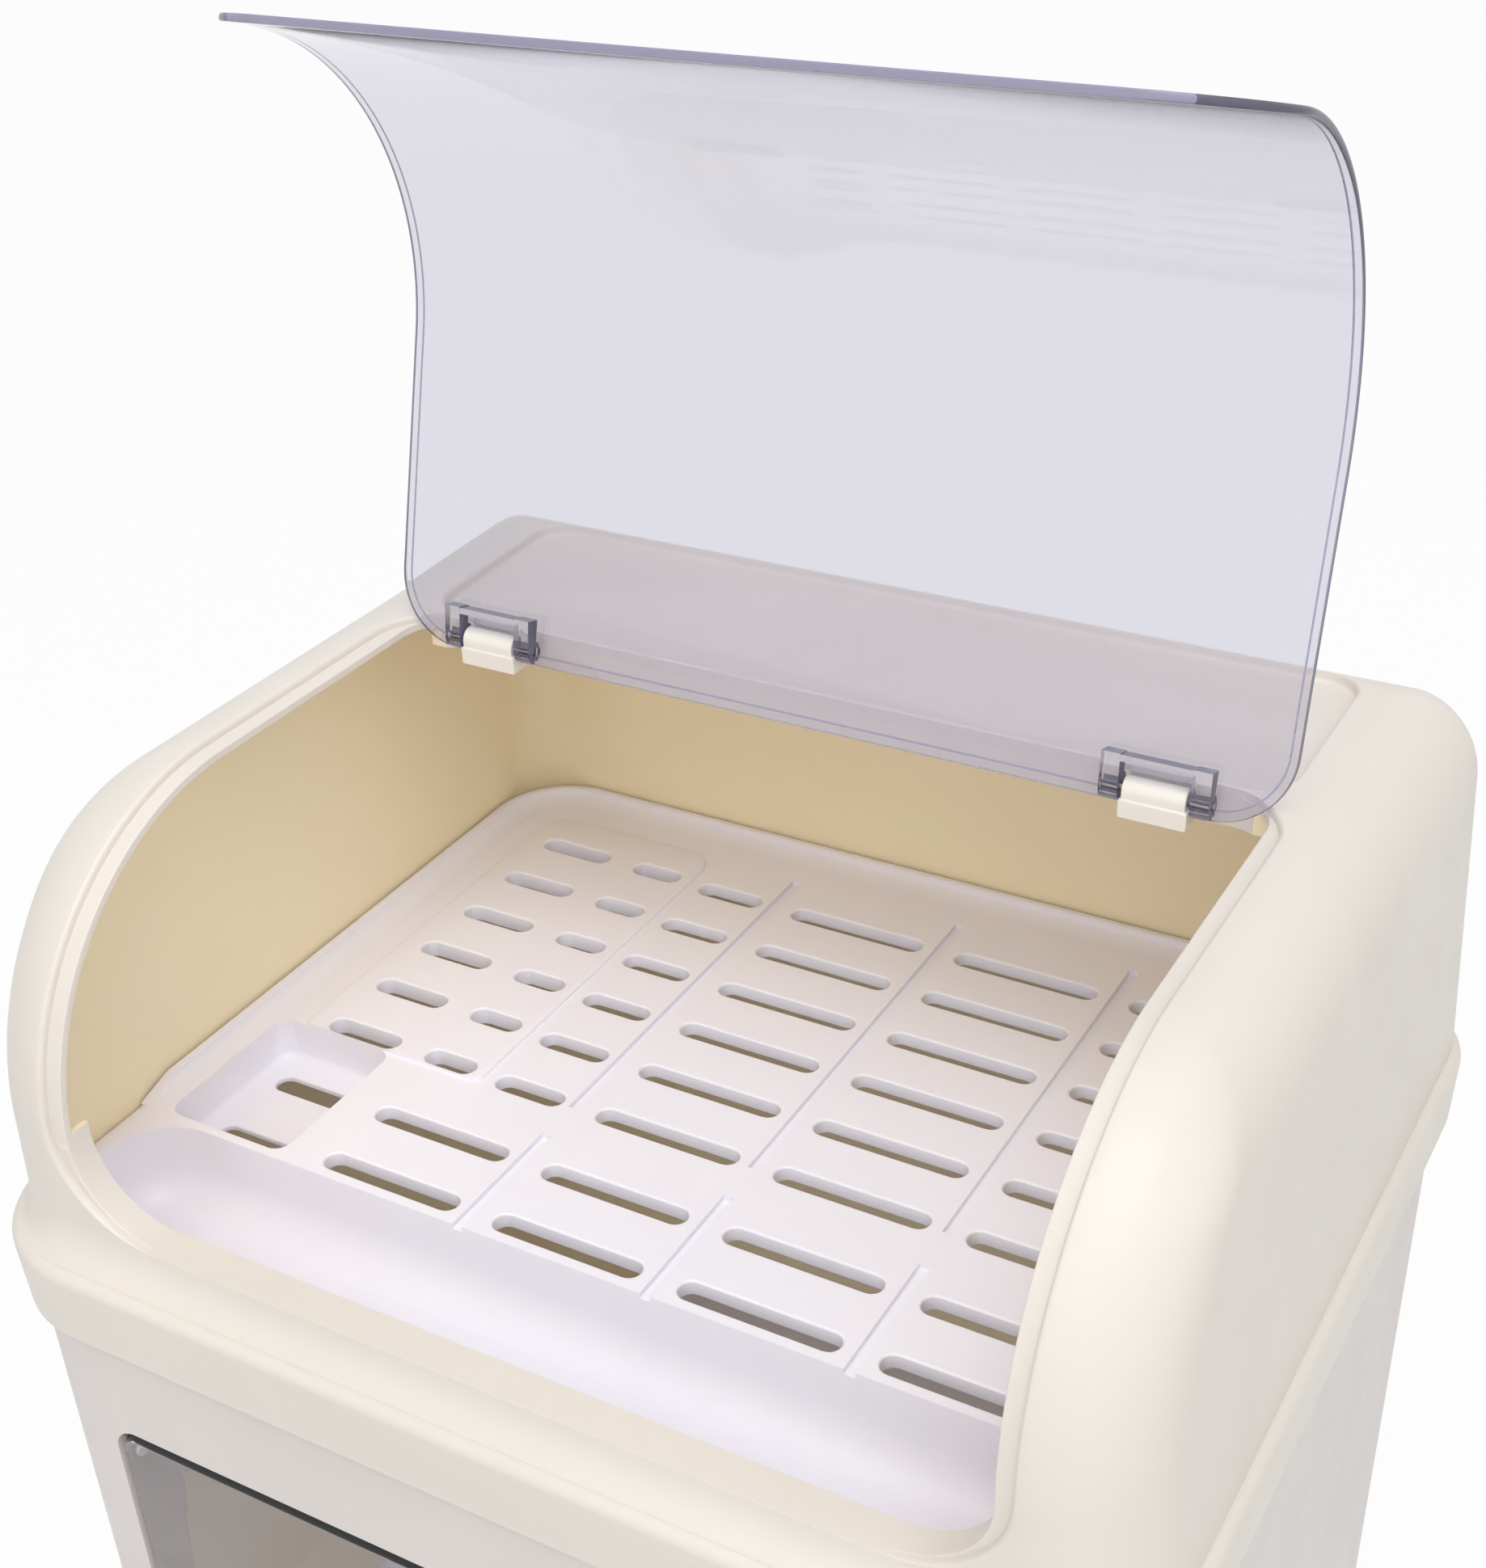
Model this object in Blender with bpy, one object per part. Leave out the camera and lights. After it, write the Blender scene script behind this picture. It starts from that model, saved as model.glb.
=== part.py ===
"""Covered dish drainer: two stacked moulded housings, a curved clear lid, slotted drain trays and a clear flip-up door.

Metres, +Z up, front towards -Y. The origin is on the floor, under the middle of the belt.
The lid is drawn open, leaning back on its stop, and the lower door is drawn closed.
"""
import math

import bmesh
import bpy
from mathutils import Matrix

# Belt and skirt: the widest band, where the upper housing caps the lower one
BELT_HALF_WIDTH = 0.215
BELT_HALF_DEPTH = 0.1815
BELT_FRONT_CORNER = 0.048
BELT_BACK_CORNER = 0.040
BELT_TOP_Z = 0.301
BELT_EDGE_RADIUS = 0.004
BELT_FLARE_HEIGHT = 0.013
BELT_LEDGE_RISE = 0.0002
SKIRT_WALL = 0.002
SKIRT_HEIGHT = 0.029
SKIRT_TAPER = 0.0015

# Upper housing
WALL = 0.003
DRAFT = math.radians(2.0)
HOOD_HEIGHT = 0.1455
HOOD_SIDE_SETBACK = 0.0046
HOOD_FRONT_SETBACK = 0.014
HOOD_BACK_SETBACK = 0.0087
HOOD_FRONT_CORNER = 0.036
HOOD_BACK_CORNER = 0.024
HOOD_LEAST_CORNER = 0.006
TOP_EDGE_RADIUS = 0.032
FRONT_ARC_RADIUS = 0.102
SEAT_WIDTH = 0.006
SEAT_THICKNESS = 0.0028
OPENING_BACK_CORNER = 0.016
RIM_SHELF_HEIGHT = 0.011
RIM_SHELF_DEPTH = 0.013
APRON_HEIGHT = 0.0145
DECK_FLOOR_THICKNESS = 0.0032
RECESS_BACK_MARGIN = 0.0273
RECESS_DEPTH = 0.005
RECESS_CORNER = 0.014
RECESS_TAPER = 0.0012

# Lid and its hinges
LID_SIDE_SETBACK = 0.039
LID_THICKNESS = 0.0025
LID_EDGE_RADIUS = 0.0008
LID_HINGE_CORNER = 0.026
LID_FREE_CORNER = 0.038
LID_TAIL = 0.005
LID_GAP = 0.0003
LID_SIDE_GAP = 0.0006
LID_END_GAP = 0.0006
LID_OPEN_LEAN = math.radians(14.9)
HINGE_SHARE = 0.75
PIN_SETBACK = 0.1306
PIN_RADIUS = 0.0015
PIN_GAP = 0.0003
PIN_LENGTH = 0.0364
DECK_EDGE_SETBACK = 0.0105
EAR_OUTER_HALF_WIDTH = 0.0185
EAR_BOSS_RADIUS = 0.0045
EAR_REACH = 0.012
EAR_DEPTH = 0.006
EAR_BAR_THICKNESS = 0.0025
EAR_LAP = 0.0003
KNUCKLE_HALF_WIDTH = 0.0115
KNUCKLE_SIDE_GAP = 0.0005
KNUCKLE_FRONT = 0.005
KNUCKLE_DROP = 0.0088
KNUCKLE_SHOULDER_DROP = 0.0022
TONGUE_HALF_WIDTH = 0.008
STOP_RISE = 0.007
NOTCH_REACH = 0.0052
SEAT_GAP = 0.0003
TAB_HALF_WIDTH = 0.006
TAB_TOP_DROP = 0.0062
TAB_THICKNESS = 0.002
TAB_REACH = 0.006

# Upper drain tray
TRAY_FLANGE_INSET = 0.0035
TRAY_CORNER = 0.034
TRAY_FLANGE_THICKNESS = 0.0026
TRAY_TOP_RISE = 0.003
TRAY_SIDE_GAP = 0.0005
TRAY_SHOULDER = 0.0055
TRAY_TOP_EDGE = 0.0008
TRAY_SKIN = 0.0022
SLOT_WIDTH = 0.0088
BACK_ROWS = 6
FRONT_ROWS = 2
SLOT_COLLAR = 0.0022
GROOVE_WIDTH = 0.0028
GROOVE_DEPTH = 0.0012
PLATEAU_RISE = 0.0014
PLATEAU_CORNER = 0.012
POCKET_DEPTH = 0.017
POCKET_CORNER = 0.006
POCKET_SLOT_END_INSET = 0.008
POCKET_SLOT_LENGTH = 0.034
POCKET_ROW_INSET = 0.016
GUTTER_DEPTH = 0.030
GUTTER_CORNER_SHARE = 0.43
GUTTER_FILLET = 0.014

# Slot columns and grooves of the upper tray, as shares of its half width
NARROW_COLUMN_SHARES = ((-0.8373, -0.6808), (-0.6181, -0.5109))
WIDE_COLUMN_SHARES = ((-0.4626, -0.3216), (-0.2492, 0.0343), (0.1053, 0.3935), (0.4602, 0.7484))
FRONT_COLUMN_SHARES = ((-0.6007, -0.3240), (-0.2492, 0.0343), (0.1053, 0.3935), (0.4602, 0.7484))
GROOVE_SHARES = (-0.2950, 0.0681, 0.4288)
PLATEAU_SHARES = (-0.8836, -0.4867)
POCKET_SHARES = (-0.9367, -0.6808)
TUB_LEAST_CORNER_SHARE = 0.2

# Rows, grooves and edges of the upper tray, as shares of the belt's half depth
BACK_ROW_SHARE = 0.6793
FRONT_ROW_SHARE = -0.3333
ROW_PITCH_SHARE = 0.1636
GROOVE_BACK_SHARE = 0.7989
GROOVE_GAP_BACK_SHARE = -0.1488
GROOVE_GAP_FRONT_SHARE = -0.2424
PLATEAU_BACK_SHARE = 0.7989
PLATEAU_FRONT_SHARE = -0.1653
POCKET_FRONT_SHARE = -0.5262
PANEL_FRONT_SHARE = -0.5455

# Lower housing
LOWER_SIDE_SETBACK = 0.004
LOWER_FRONT_SETBACK = 0.0045
LOWER_BACK_SETBACK = 0.0105
LOWER_CORNER = 0.047
LOWER_DRAFT = math.radians(1.25)
LOWER_BOTTOM_EDGE = 0.008
LOWER_FLOOR = 0.0035
FOOT_HEIGHT = 0.010
FOOT_RADIUS = 0.010
FOOT_TAPER = 0.001
FOOT_STEM_RADIUS = 0.003
FOOT_INSET = 0.034
FOOT_CHAMFER = 0.001

# Window and flip-up door of the lower housing
WINDOW_SIDE_MARGIN = 0.049
WINDOW_TOP_MARGIN = 0.0425
WINDOW_BOTTOM_MARGIN = 0.020
WINDOW_CORNER = 0.0105
DOOR_GAP = 0.0009
DOOR_WALL = 0.0025
DOOR_EDGE_RADIUS = 0.004
DOOR_PIVOT_DEPTH = 0.0085
DOOR_PIVOT_DROP = 0.0135
DOOR_CHEEK_DEPTH = 0.026
DOOR_CHEEK_STRAIGHT = 0.030
DOOR_FOOT_DEPTH = 0.008
DOOR_TOP_DEPTH = 0.012
DOOR_PULL_HALF_WIDTH = 0.045
DOOR_PULL_REACH = 0.007
DOOR_PULL_THICKNESS = 0.0025
DOOR_PULL_RISE = 0.004
DOOR_PIN_RADIUS = 0.002
DOOR_PIN_HEAD_RADIUS = 0.0034
DOOR_PIN_HEAD = 0.0012
DOOR_PIN_HEAD_GAP = 0.001
DOOR_PIN_SINK = 0.0065
LUG_WIDTH = 0.008
LUG_HALF_HEIGHT = 0.006
LUG_BACK = 0.0055
SILL_TOP_DROP = 0.0004
SILL_THICKNESS = 0.003
SILL_STOP_RISE = 0.005
SILL_STOP_THICKNESS = 0.0025

# Drip tray and lower drain rack
DRIP_SIDE_CLEARANCE = 0.007
DRIP_FRONT_CLEARANCE = 0.031
DRIP_BACK_CLEARANCE = 0.021
DRIP_CORNER = 0.018
DRIP_HEIGHT = 0.020
DRIP_WALL = 0.002
DRIP_TAPER = 0.004
DRIP_RIM = 0.003
DRIP_RIM_THICKNESS = 0.002
RACK_THICKNESS = 0.0025
RACK_SKIRT_DEPTH = 0.005
RACK_SKIRT_THICKNESS = 0.002
RACK_SLOT_WIDTH = 0.008
RACK_SLOT_PITCH_SHARE = 0.101
RACK_ROWS = 9
RACK_COLUMN_SHARES = ((-0.86, -0.36), (-0.25, 0.25), (0.36, 0.86))

# Clearances and the overrun of cutters past the faces that they cut
LAY_GAP = 0.0003
OVERRUN = 0.004

# Facets
CORNER_STEPS = 7
ARC_STEPS = 18
CUTTER_ARC_STEPS = 13
EDGE_STEPS = 4
SLOT_END_STEPS = 4
EAR_ARC_STEPS = 13
ROUND_STEPS = 24

# Sizes worked out from the ones above
SKIRT_BOTTOM_Z = BELT_TOP_Z - SKIRT_HEIGHT
CREST_Z = BELT_TOP_Z + HOOD_HEIGHT
RIM_SHELF_Z = BELT_TOP_Z + RIM_SHELF_HEIGHT
HOOD_HALF_WIDTH = BELT_HALF_WIDTH - HOOD_SIDE_SETBACK
HOOD_FRONT = BELT_HALF_DEPTH - HOOD_FRONT_SETBACK
HOOD_BACK = BELT_HALF_DEPTH - HOOD_BACK_SETBACK
LOWER_HALF_WIDTH = BELT_HALF_WIDTH - LOWER_SIDE_SETBACK
LOWER_FRONT = BELT_HALF_DEPTH - LOWER_FRONT_SETBACK
LOWER_BACK = BELT_HALF_DEPTH - LOWER_BACK_SETBACK
LID_HALF_WIDTH = HOOD_HALF_WIDTH - LID_SIDE_SETBACK
HINGE_X = LID_HALF_WIDTH * HINGE_SHARE
PIN_Y = HOOD_BACK - PIN_SETBACK
WINDOW_HALF_WIDTH = LOWER_HALF_WIDTH - WINDOW_SIDE_MARGIN
WINDOW_TOP_Z = SKIRT_BOTTOM_Z - WINDOW_TOP_MARGIN
WINDOW_BOTTOM_Z = FOOT_HEIGHT + WINDOW_BOTTOM_MARGIN
BACK_ROW_Y = BELT_HALF_DEPTH * BACK_ROW_SHARE
FRONT_ROW_Y = BELT_HALF_DEPTH * FRONT_ROW_SHARE
ROW_PITCH = BELT_HALF_DEPTH * ROW_PITCH_SHARE
GROOVE_BACK_Y = BELT_HALF_DEPTH * GROOVE_BACK_SHARE
GROOVE_GAP_BACK_Y = BELT_HALF_DEPTH * GROOVE_GAP_BACK_SHARE
GROOVE_GAP_FRONT_Y = BELT_HALF_DEPTH * GROOVE_GAP_FRONT_SHARE
PLATEAU_BACK_Y = BELT_HALF_DEPTH * PLATEAU_BACK_SHARE
PLATEAU_FRONT_Y = BELT_HALF_DEPTH * PLATEAU_FRONT_SHARE
POCKET_FRONT_Y = BELT_HALF_DEPTH * POCKET_FRONT_SHARE
PANEL_FRONT_Y = BELT_HALF_DEPTH * PANEL_FRONT_SHARE
DRIP_HALF_WIDTH = WINDOW_HALF_WIDTH - DRIP_SIDE_CLEARANCE
DRIP_FRONT = LOWER_FRONT - DRIP_FRONT_CLEARANCE
DRIP_BACK = LOWER_BACK - DRIP_BACK_CLEARANCE
RACK_SLOT_PITCH = (DRIP_FRONT + DRIP_BACK) * RACK_SLOT_PITCH_SHARE
LID_SEAT_DEPTH = LID_THICKNESS + LID_GAP
LIP_THICKNESS = LID_SEAT_DEPTH + SEAT_THICKNESS
PIN_Z = CREST_Z - LID_THICKNESS
ARC_Y = FRONT_ARC_RADIUS - HOOD_FRONT
ARC_Z = CREST_Z - FRONT_ARC_RADIUS
DECK_EDGE_Y = PIN_Y + DECK_EDGE_SETBACK
PATH_STRAIGHT = DECK_EDGE_Y - ARC_Y
PATH_ARC = FRONT_ARC_RADIUS * math.pi / 2
PATH_TO_SHELF = PATH_STRAIGHT + PATH_ARC + ARC_Z - RIM_SHELF_Z
REBATE_HALF_WIDTH = LID_HALF_WIDTH + LID_SIDE_GAP
OPENING_HALF_WIDTH = REBATE_HALF_WIDTH - SEAT_WIDTH
RECESS_HALF_WIDTH = OPENING_HALF_WIDTH
RECESS_BACK = HOOD_BACK - RECESS_BACK_MARGIN
LEDGE_UNDER_Z = BELT_TOP_Z - WALL - BELT_LEDGE_RISE
TRAY_FLANGE_TOP_Z = LEDGE_UNDER_Z - LAY_GAP
TRAY_FLANGE_BOTTOM_Z = TRAY_FLANGE_TOP_Z - TRAY_FLANGE_THICKNESS
PANEL_Z = TRAY_FLANGE_TOP_Z + TRAY_TOP_RISE
LOWER_TOP_Z = TRAY_FLANGE_BOTTOM_Z - LAY_GAP
FLOOR_Z = FOOT_HEIGHT + LOWER_FLOOR
DOOR_TOP_Z = WINDOW_TOP_Z - DOOR_GAP
DOOR_BOTTOM_Z = WINDOW_BOTTOM_Z + DOOR_GAP
DOOR_HALF_WIDTH = WINDOW_HALF_WIDTH - DOOR_GAP
DOOR_PIVOT_Z = DOOR_TOP_Z - DOOR_PIVOT_DROP
DRIP_BOTTOM_Z = FLOOR_Z + LAY_GAP
DRIP_TOP_Z = DRIP_BOTTOM_Z + DRIP_HEIGHT
RACK_BOTTOM_Z = DRIP_TOP_Z + LAY_GAP

PARTS = "covered_dish_drainer"
CUTTERS = "cutters"


def clear_scene():
    """Remove every object of the starting scene."""
    for item in list(bpy.data.objects):
        bpy.data.objects.remove(item, do_unlink=True)


def collection(name):
    """Return the named collection, made and linked when it is missing."""
    found = bpy.data.collections.get(name)
    if found is None:
        found = bpy.data.collections.new(name)
        bpy.context.scene.collection.children.link(found)
    return found


def plastic(name, colour, roughness, metallic=0.0, alpha=1.0):
    """Make a Principled material."""
    material = bpy.data.materials.new(name)
    material.use_nodes = True
    shader = material.node_tree.nodes["Principled BSDF"]
    shader.inputs["Base Color"].default_value = (*colour, 1.0)
    shader.inputs["Roughness"].default_value = roughness
    shader.inputs["Metallic"].default_value = metallic
    shader.inputs["Alpha"].default_value = alpha
    material.diffuse_color = (*colour, alpha)
    return material


def add_object(name, mesh, material=None):
    """Put a mesh in the scene: as a part when it has a material, else as a cutter."""
    item = bpy.data.objects.new(name, mesh)
    if material is None:
        collection(CUTTERS).objects.link(item)
        item.hide_render = True
        item.display_type = "WIRE"
    else:
        collection(PARTS).objects.link(item)
        mesh.materials.append(material)
    return item


def boolean(target, helper, operation="DIFFERENCE"):
    """Cut or join a helper object with an exact Boolean modifier."""
    modifier = target.modifiers.new(helper.name, "BOOLEAN")
    modifier.operation = operation
    modifier.solver = "EXACT"
    modifier.object = helper
    return target


def loft(name, rings, material=None, turn=None):
    """Skin a row of equal rings, anticlockwise seen from the far end, and cap both ends."""
    mesh = bpy.data.meshes.new(name)
    bm = bmesh.new()
    loops = [[bm.verts.new(point) for point in ring] for ring in rings]
    count = len(rings[0])
    for low, high in zip(loops, loops[1:]):
        for i in range(count):
            j = (i + 1) % count
            bm.faces.new((low[i], low[j], high[j], high[i]))
    bm.faces.new(list(reversed(loops[0])))
    bm.faces.new(loops[-1])
    if turn is not None:
        bm.transform(turn)
    bm.to_mesh(mesh)
    bm.free()
    return add_object(name, mesh, material)


def rounded_ring(half_width, front, back, front_radius, back_radius, z, centre_x=0.0):
    """Points of a rounded rectangle at height z; front and back are distances from the middle."""
    corners = (
        (half_width - back_radius, back - back_radius, back_radius, 0),
        (back_radius - half_width, back - back_radius, back_radius, 1),
        (front_radius - half_width, front_radius - front, front_radius, 2),
        (half_width - front_radius, front_radius - front, front_radius, 3),
    )
    ring = []
    for x, y, radius, quarter in corners:
        for step in range(CORNER_STEPS + 1):
            angle = math.pi / 2 * (quarter + step / CORNER_STEPS)
            ring.append((centre_x + x + radius * math.cos(angle), y + radius * math.sin(angle), z))
    return ring


def box(name, low, high, material=None):
    """A block between two corners."""
    mesh = bpy.data.meshes.new(name)
    bm = bmesh.new()
    bmesh.ops.create_cube(bm, size=1)
    size = Matrix.Diagonal([b - a for a, b in zip(low, high)] + [1])
    middle = Matrix.Translation([(a + b) / 2 for a, b in zip(low, high)])
    bm.transform(middle @ size)
    bm.to_mesh(mesh)
    bm.free()
    return add_object(name, mesh, material)


def side_prism(name, outline, low_x, high_x, material=None):
    """Extrude a (y, z) outline, anticlockwise with +Y to the right and +Z up, along X."""
    rings = [[(x, y, z) for y, z in outline] for x in (low_x, high_x)]
    return loft(name, rings, material)


def cross_cylinder(name, radius, low_x, high_x, y, z):
    """A cylinder along X, for bores."""
    angles = [2 * math.pi * (i + 0.5) / ROUND_STEPS for i in range(ROUND_STEPS)]
    circle = [(y + radius * math.cos(angle), z + radius * math.sin(angle)) for angle in angles]
    return side_prism(name, circle, low_x, high_x)


def circle(radius, z, centre=(0.0, 0.0)):
    """Points of a level circle."""
    angles = [2 * math.pi * i / ROUND_STEPS for i in range(ROUND_STEPS)]
    return [(centre[0] + radius * math.cos(a), centre[1] + radius * math.sin(a), z) for a in angles]


def turned(name, profile, material):
    """A round solid about Z from (radius, height) points, listed from the bottom up."""
    return loft(name, [circle(radius, z) for radius, z in profile], material)


def blend(ring, other, share):
    """Points part of the way from one ring to another with as many points."""
    return [tuple(a + (b - a) * share for a, b in zip(point, far)) for point, far in zip(ring, other)]


def hood_half_width(z):
    """Half width of the upper housing's outer wall at a height, with its draft."""
    return HOOD_HALF_WIDTH - (z - BELT_TOP_Z) * math.tan(DRAFT)


def hood_back(z):
    """Distance of the upper housing's back wall at a height, with its draft."""
    return HOOD_BACK - (z - BELT_TOP_Z) * math.tan(DRAFT)


def lower_inset(z):
    """How far the lower housing's walls have drawn in at a height, from the skirt's lower edge."""
    return (SKIRT_BOTTOM_Z - z) * math.tan(LOWER_DRAFT)


def belt_ring(inset, z):
    """Section of the belt, inset from its widest line."""
    depth = BELT_HALF_DEPTH - inset
    corners = (BELT_FRONT_CORNER - inset, BELT_BACK_CORNER - inset)
    return rounded_ring(BELT_HALF_WIDTH - inset, depth, depth, *corners, z)


def hood_ring(inset, front_inset, z, shrink=0.0, front_recede=0.0):
    """Section of the upper housing above its belt, inset from the outer surface."""
    draw = inset + shrink
    corners = [max(HOOD_LEAST_CORNER, corner - draw) for corner in (HOOD_FRONT_CORNER, HOOD_BACK_CORNER)]
    front = HOOD_FRONT - front_inset - front_recede
    return rounded_ring(hood_half_width(z) - draw, front, hood_back(z) - draw, *corners, z)


def hood_top_rings(inset, top_inset):
    """Sections from the foot of the front arc to the crest, with the rounded top edge."""
    radius = FRONT_ARC_RADIUS - top_inset
    edge = TOP_EDGE_RADIUS - inset
    edge_z = CREST_Z - top_inset - edge
    rings = []
    for step in range(ARC_STEPS + 1):
        angle = math.pi / 2 * step / ARC_STEPS
        z = ARC_Z + radius * math.sin(angle)
        rise = max(0.0, z - edge_z)
        shrink = edge - math.sqrt(max(0.0, edge ** 2 - rise ** 2))
        rings.append(hood_ring(inset, top_inset, z, shrink, radius * (1 - math.cos(angle))))
    return rings


def lower_ring(inset, z):
    """Section of the lower housing, inset from its outer wall."""
    draw = lower_inset(z) + inset
    corner = LOWER_CORNER - draw
    return rounded_ring(LOWER_HALF_WIDTH - draw, LOWER_FRONT - draw, LOWER_BACK - draw, corner, corner, z)


def path_point(distance, offset):
    """(y, z) on the upper housing's side profile, forwards from the deck edge, offset outwards."""
    angle = (distance - PATH_STRAIGHT) / FRONT_ARC_RADIUS
    radius = FRONT_ARC_RADIUS + offset
    if angle <= 0:
        return DECK_EDGE_Y - distance, CREST_Z + offset
    if angle < math.pi / 2:
        return ARC_Y - radius * math.sin(angle), ARC_Z + radius * math.cos(angle)
    return ARC_Y - radius, ARC_Z - (distance - PATH_STRAIGHT - PATH_ARC)


def path_stations(start, end, start_corner, end_corner, arc_steps=ARC_STEPS):
    """Distances along the side profile: close in the rounded corners and round the arc."""
    marks = {start + start_corner, end - end_corner}
    for step in range(CORNER_STEPS + 1):
        share = 1 - math.cos(math.pi / 2 * step / CORNER_STEPS)
        marks.add(start + start_corner * share)
        marks.add(end - end_corner * share)
    for step in range(arc_steps + 1):
        marks.add(PATH_STRAIGHT + PATH_ARC * step / arc_steps)
    kept = []
    for mark in sorted(m for m in marks if start <= m <= end):
        if not kept or mark - kept[-1] > LAY_GAP:
            kept.append(mark)
    return kept


def corner_draw(distance_to_end, radius):
    """How far a rounded corner draws the side edge in, near an end."""
    inside = max(0.0, radius - distance_to_end)
    return radius - math.sqrt(max(0.0, radius ** 2 - inside ** 2))


def curved_plate(
    name, start, end, half_width, corners, offsets, arc_steps=ARC_STEPS, edge_radius=0.0, material=None, turn=None,
):
    """A plate bent along the side profile, between two offsets, with rounded outline corners."""
    inner, outer = offsets
    rings = []
    for distance in path_stations(start, end, *corners, arc_steps):
        draw = corner_draw(distance - start, corners[0]) + corner_draw(end - distance, corners[1])
        side = half_width - draw
        if edge_radius:
            section = rounded_bar(side, inner, outer, edge_radius)
        else:
            section = [(side, inner), (side, outer), (-side, outer), (-side, inner)]
        rings.append([(x, *path_point(distance, offset)) for x, offset in section])
    return loft(name, rings, material, turn)


def rounded_bar(side, low, high, radius):
    """Outline of a flat bar's section with rounded edges, anticlockwise from its lower right."""
    corners = (
        (side - radius, low + radius, 3),
        (side - radius, high - radius, 0),
        (radius - side, high - radius, 1),
        (radius - side, low + radius, 2),
    )
    points = []
    for x, z, quarter in corners:
        for step in range(3):
            angle = math.pi / 2 * (quarter + step / 2)
            points.append((x + radius * math.cos(angle), z + radius * math.sin(angle)))
    return points


def slots(name, places, bottom_z, top_z):
    """One cutter of many round-ended slots along X; each place is (low_x, high_x, y, width)."""
    mesh = bpy.data.meshes.new(name)
    bm = bmesh.new()
    for low_x, high_x, y, width in places:
        radius = width / 2
        outline = []
        for centre_x, start in ((high_x - radius, -math.pi / 2), (low_x + radius, math.pi / 2)):
            for step in range(SLOT_END_STEPS + 1):
                angle = start + math.pi * step / SLOT_END_STEPS
                outline.append((centre_x + radius * math.cos(angle), y + radius * math.sin(angle)))
        low = [bm.verts.new((x, side, bottom_z)) for x, side in outline]
        high = [bm.verts.new((x, side, top_z)) for x, side in outline]
        for i in range(len(outline)):
            j = (i + 1) % len(outline)
            bm.faces.new((low[i], low[j], high[j], high[i]))
        bm.faces.new(list(reversed(low)))
        bm.faces.new(high)
    bm.to_mesh(mesh)
    bm.free()
    return add_object(name, mesh)


def blocks(name, places):
    """One cutter of many separate blocks; each place is (low corner, high corner)."""
    mesh = bpy.data.meshes.new(name)
    bm = bmesh.new()
    for low, high in places:
        cube = bmesh.ops.create_cube(bm, size=1)["verts"]
        for vert in cube:
            vert.co = [a + (c + 0.5) * (b - a) for a, b, c in zip(low, high, vert.co)]
    bm.to_mesh(mesh)
    bm.free()
    return add_object(name, mesh)


def tub_rings(half_width, front, back, corner, floor_z, top_z, fillet, centre_x=0.0):
    """Sections of a tub with a filleted floor, from its floor up."""
    rings = []
    for step in range(EDGE_STEPS + 1):
        angle = math.pi / 2 * step / EDGE_STEPS
        inset = fillet * (1 - math.sin(angle))
        z = floor_z + fillet * (1 - math.cos(angle))
        radius = max(corner - inset, corner * TUB_LEAST_CORNER_SHARE)
        rings.append(rounded_ring(half_width - inset, front - inset, back - inset, radius, radius, z, centre_x))
    rings.append(rounded_ring(half_width, front, back, corner, corner, top_z, centre_x))
    return rings


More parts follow.
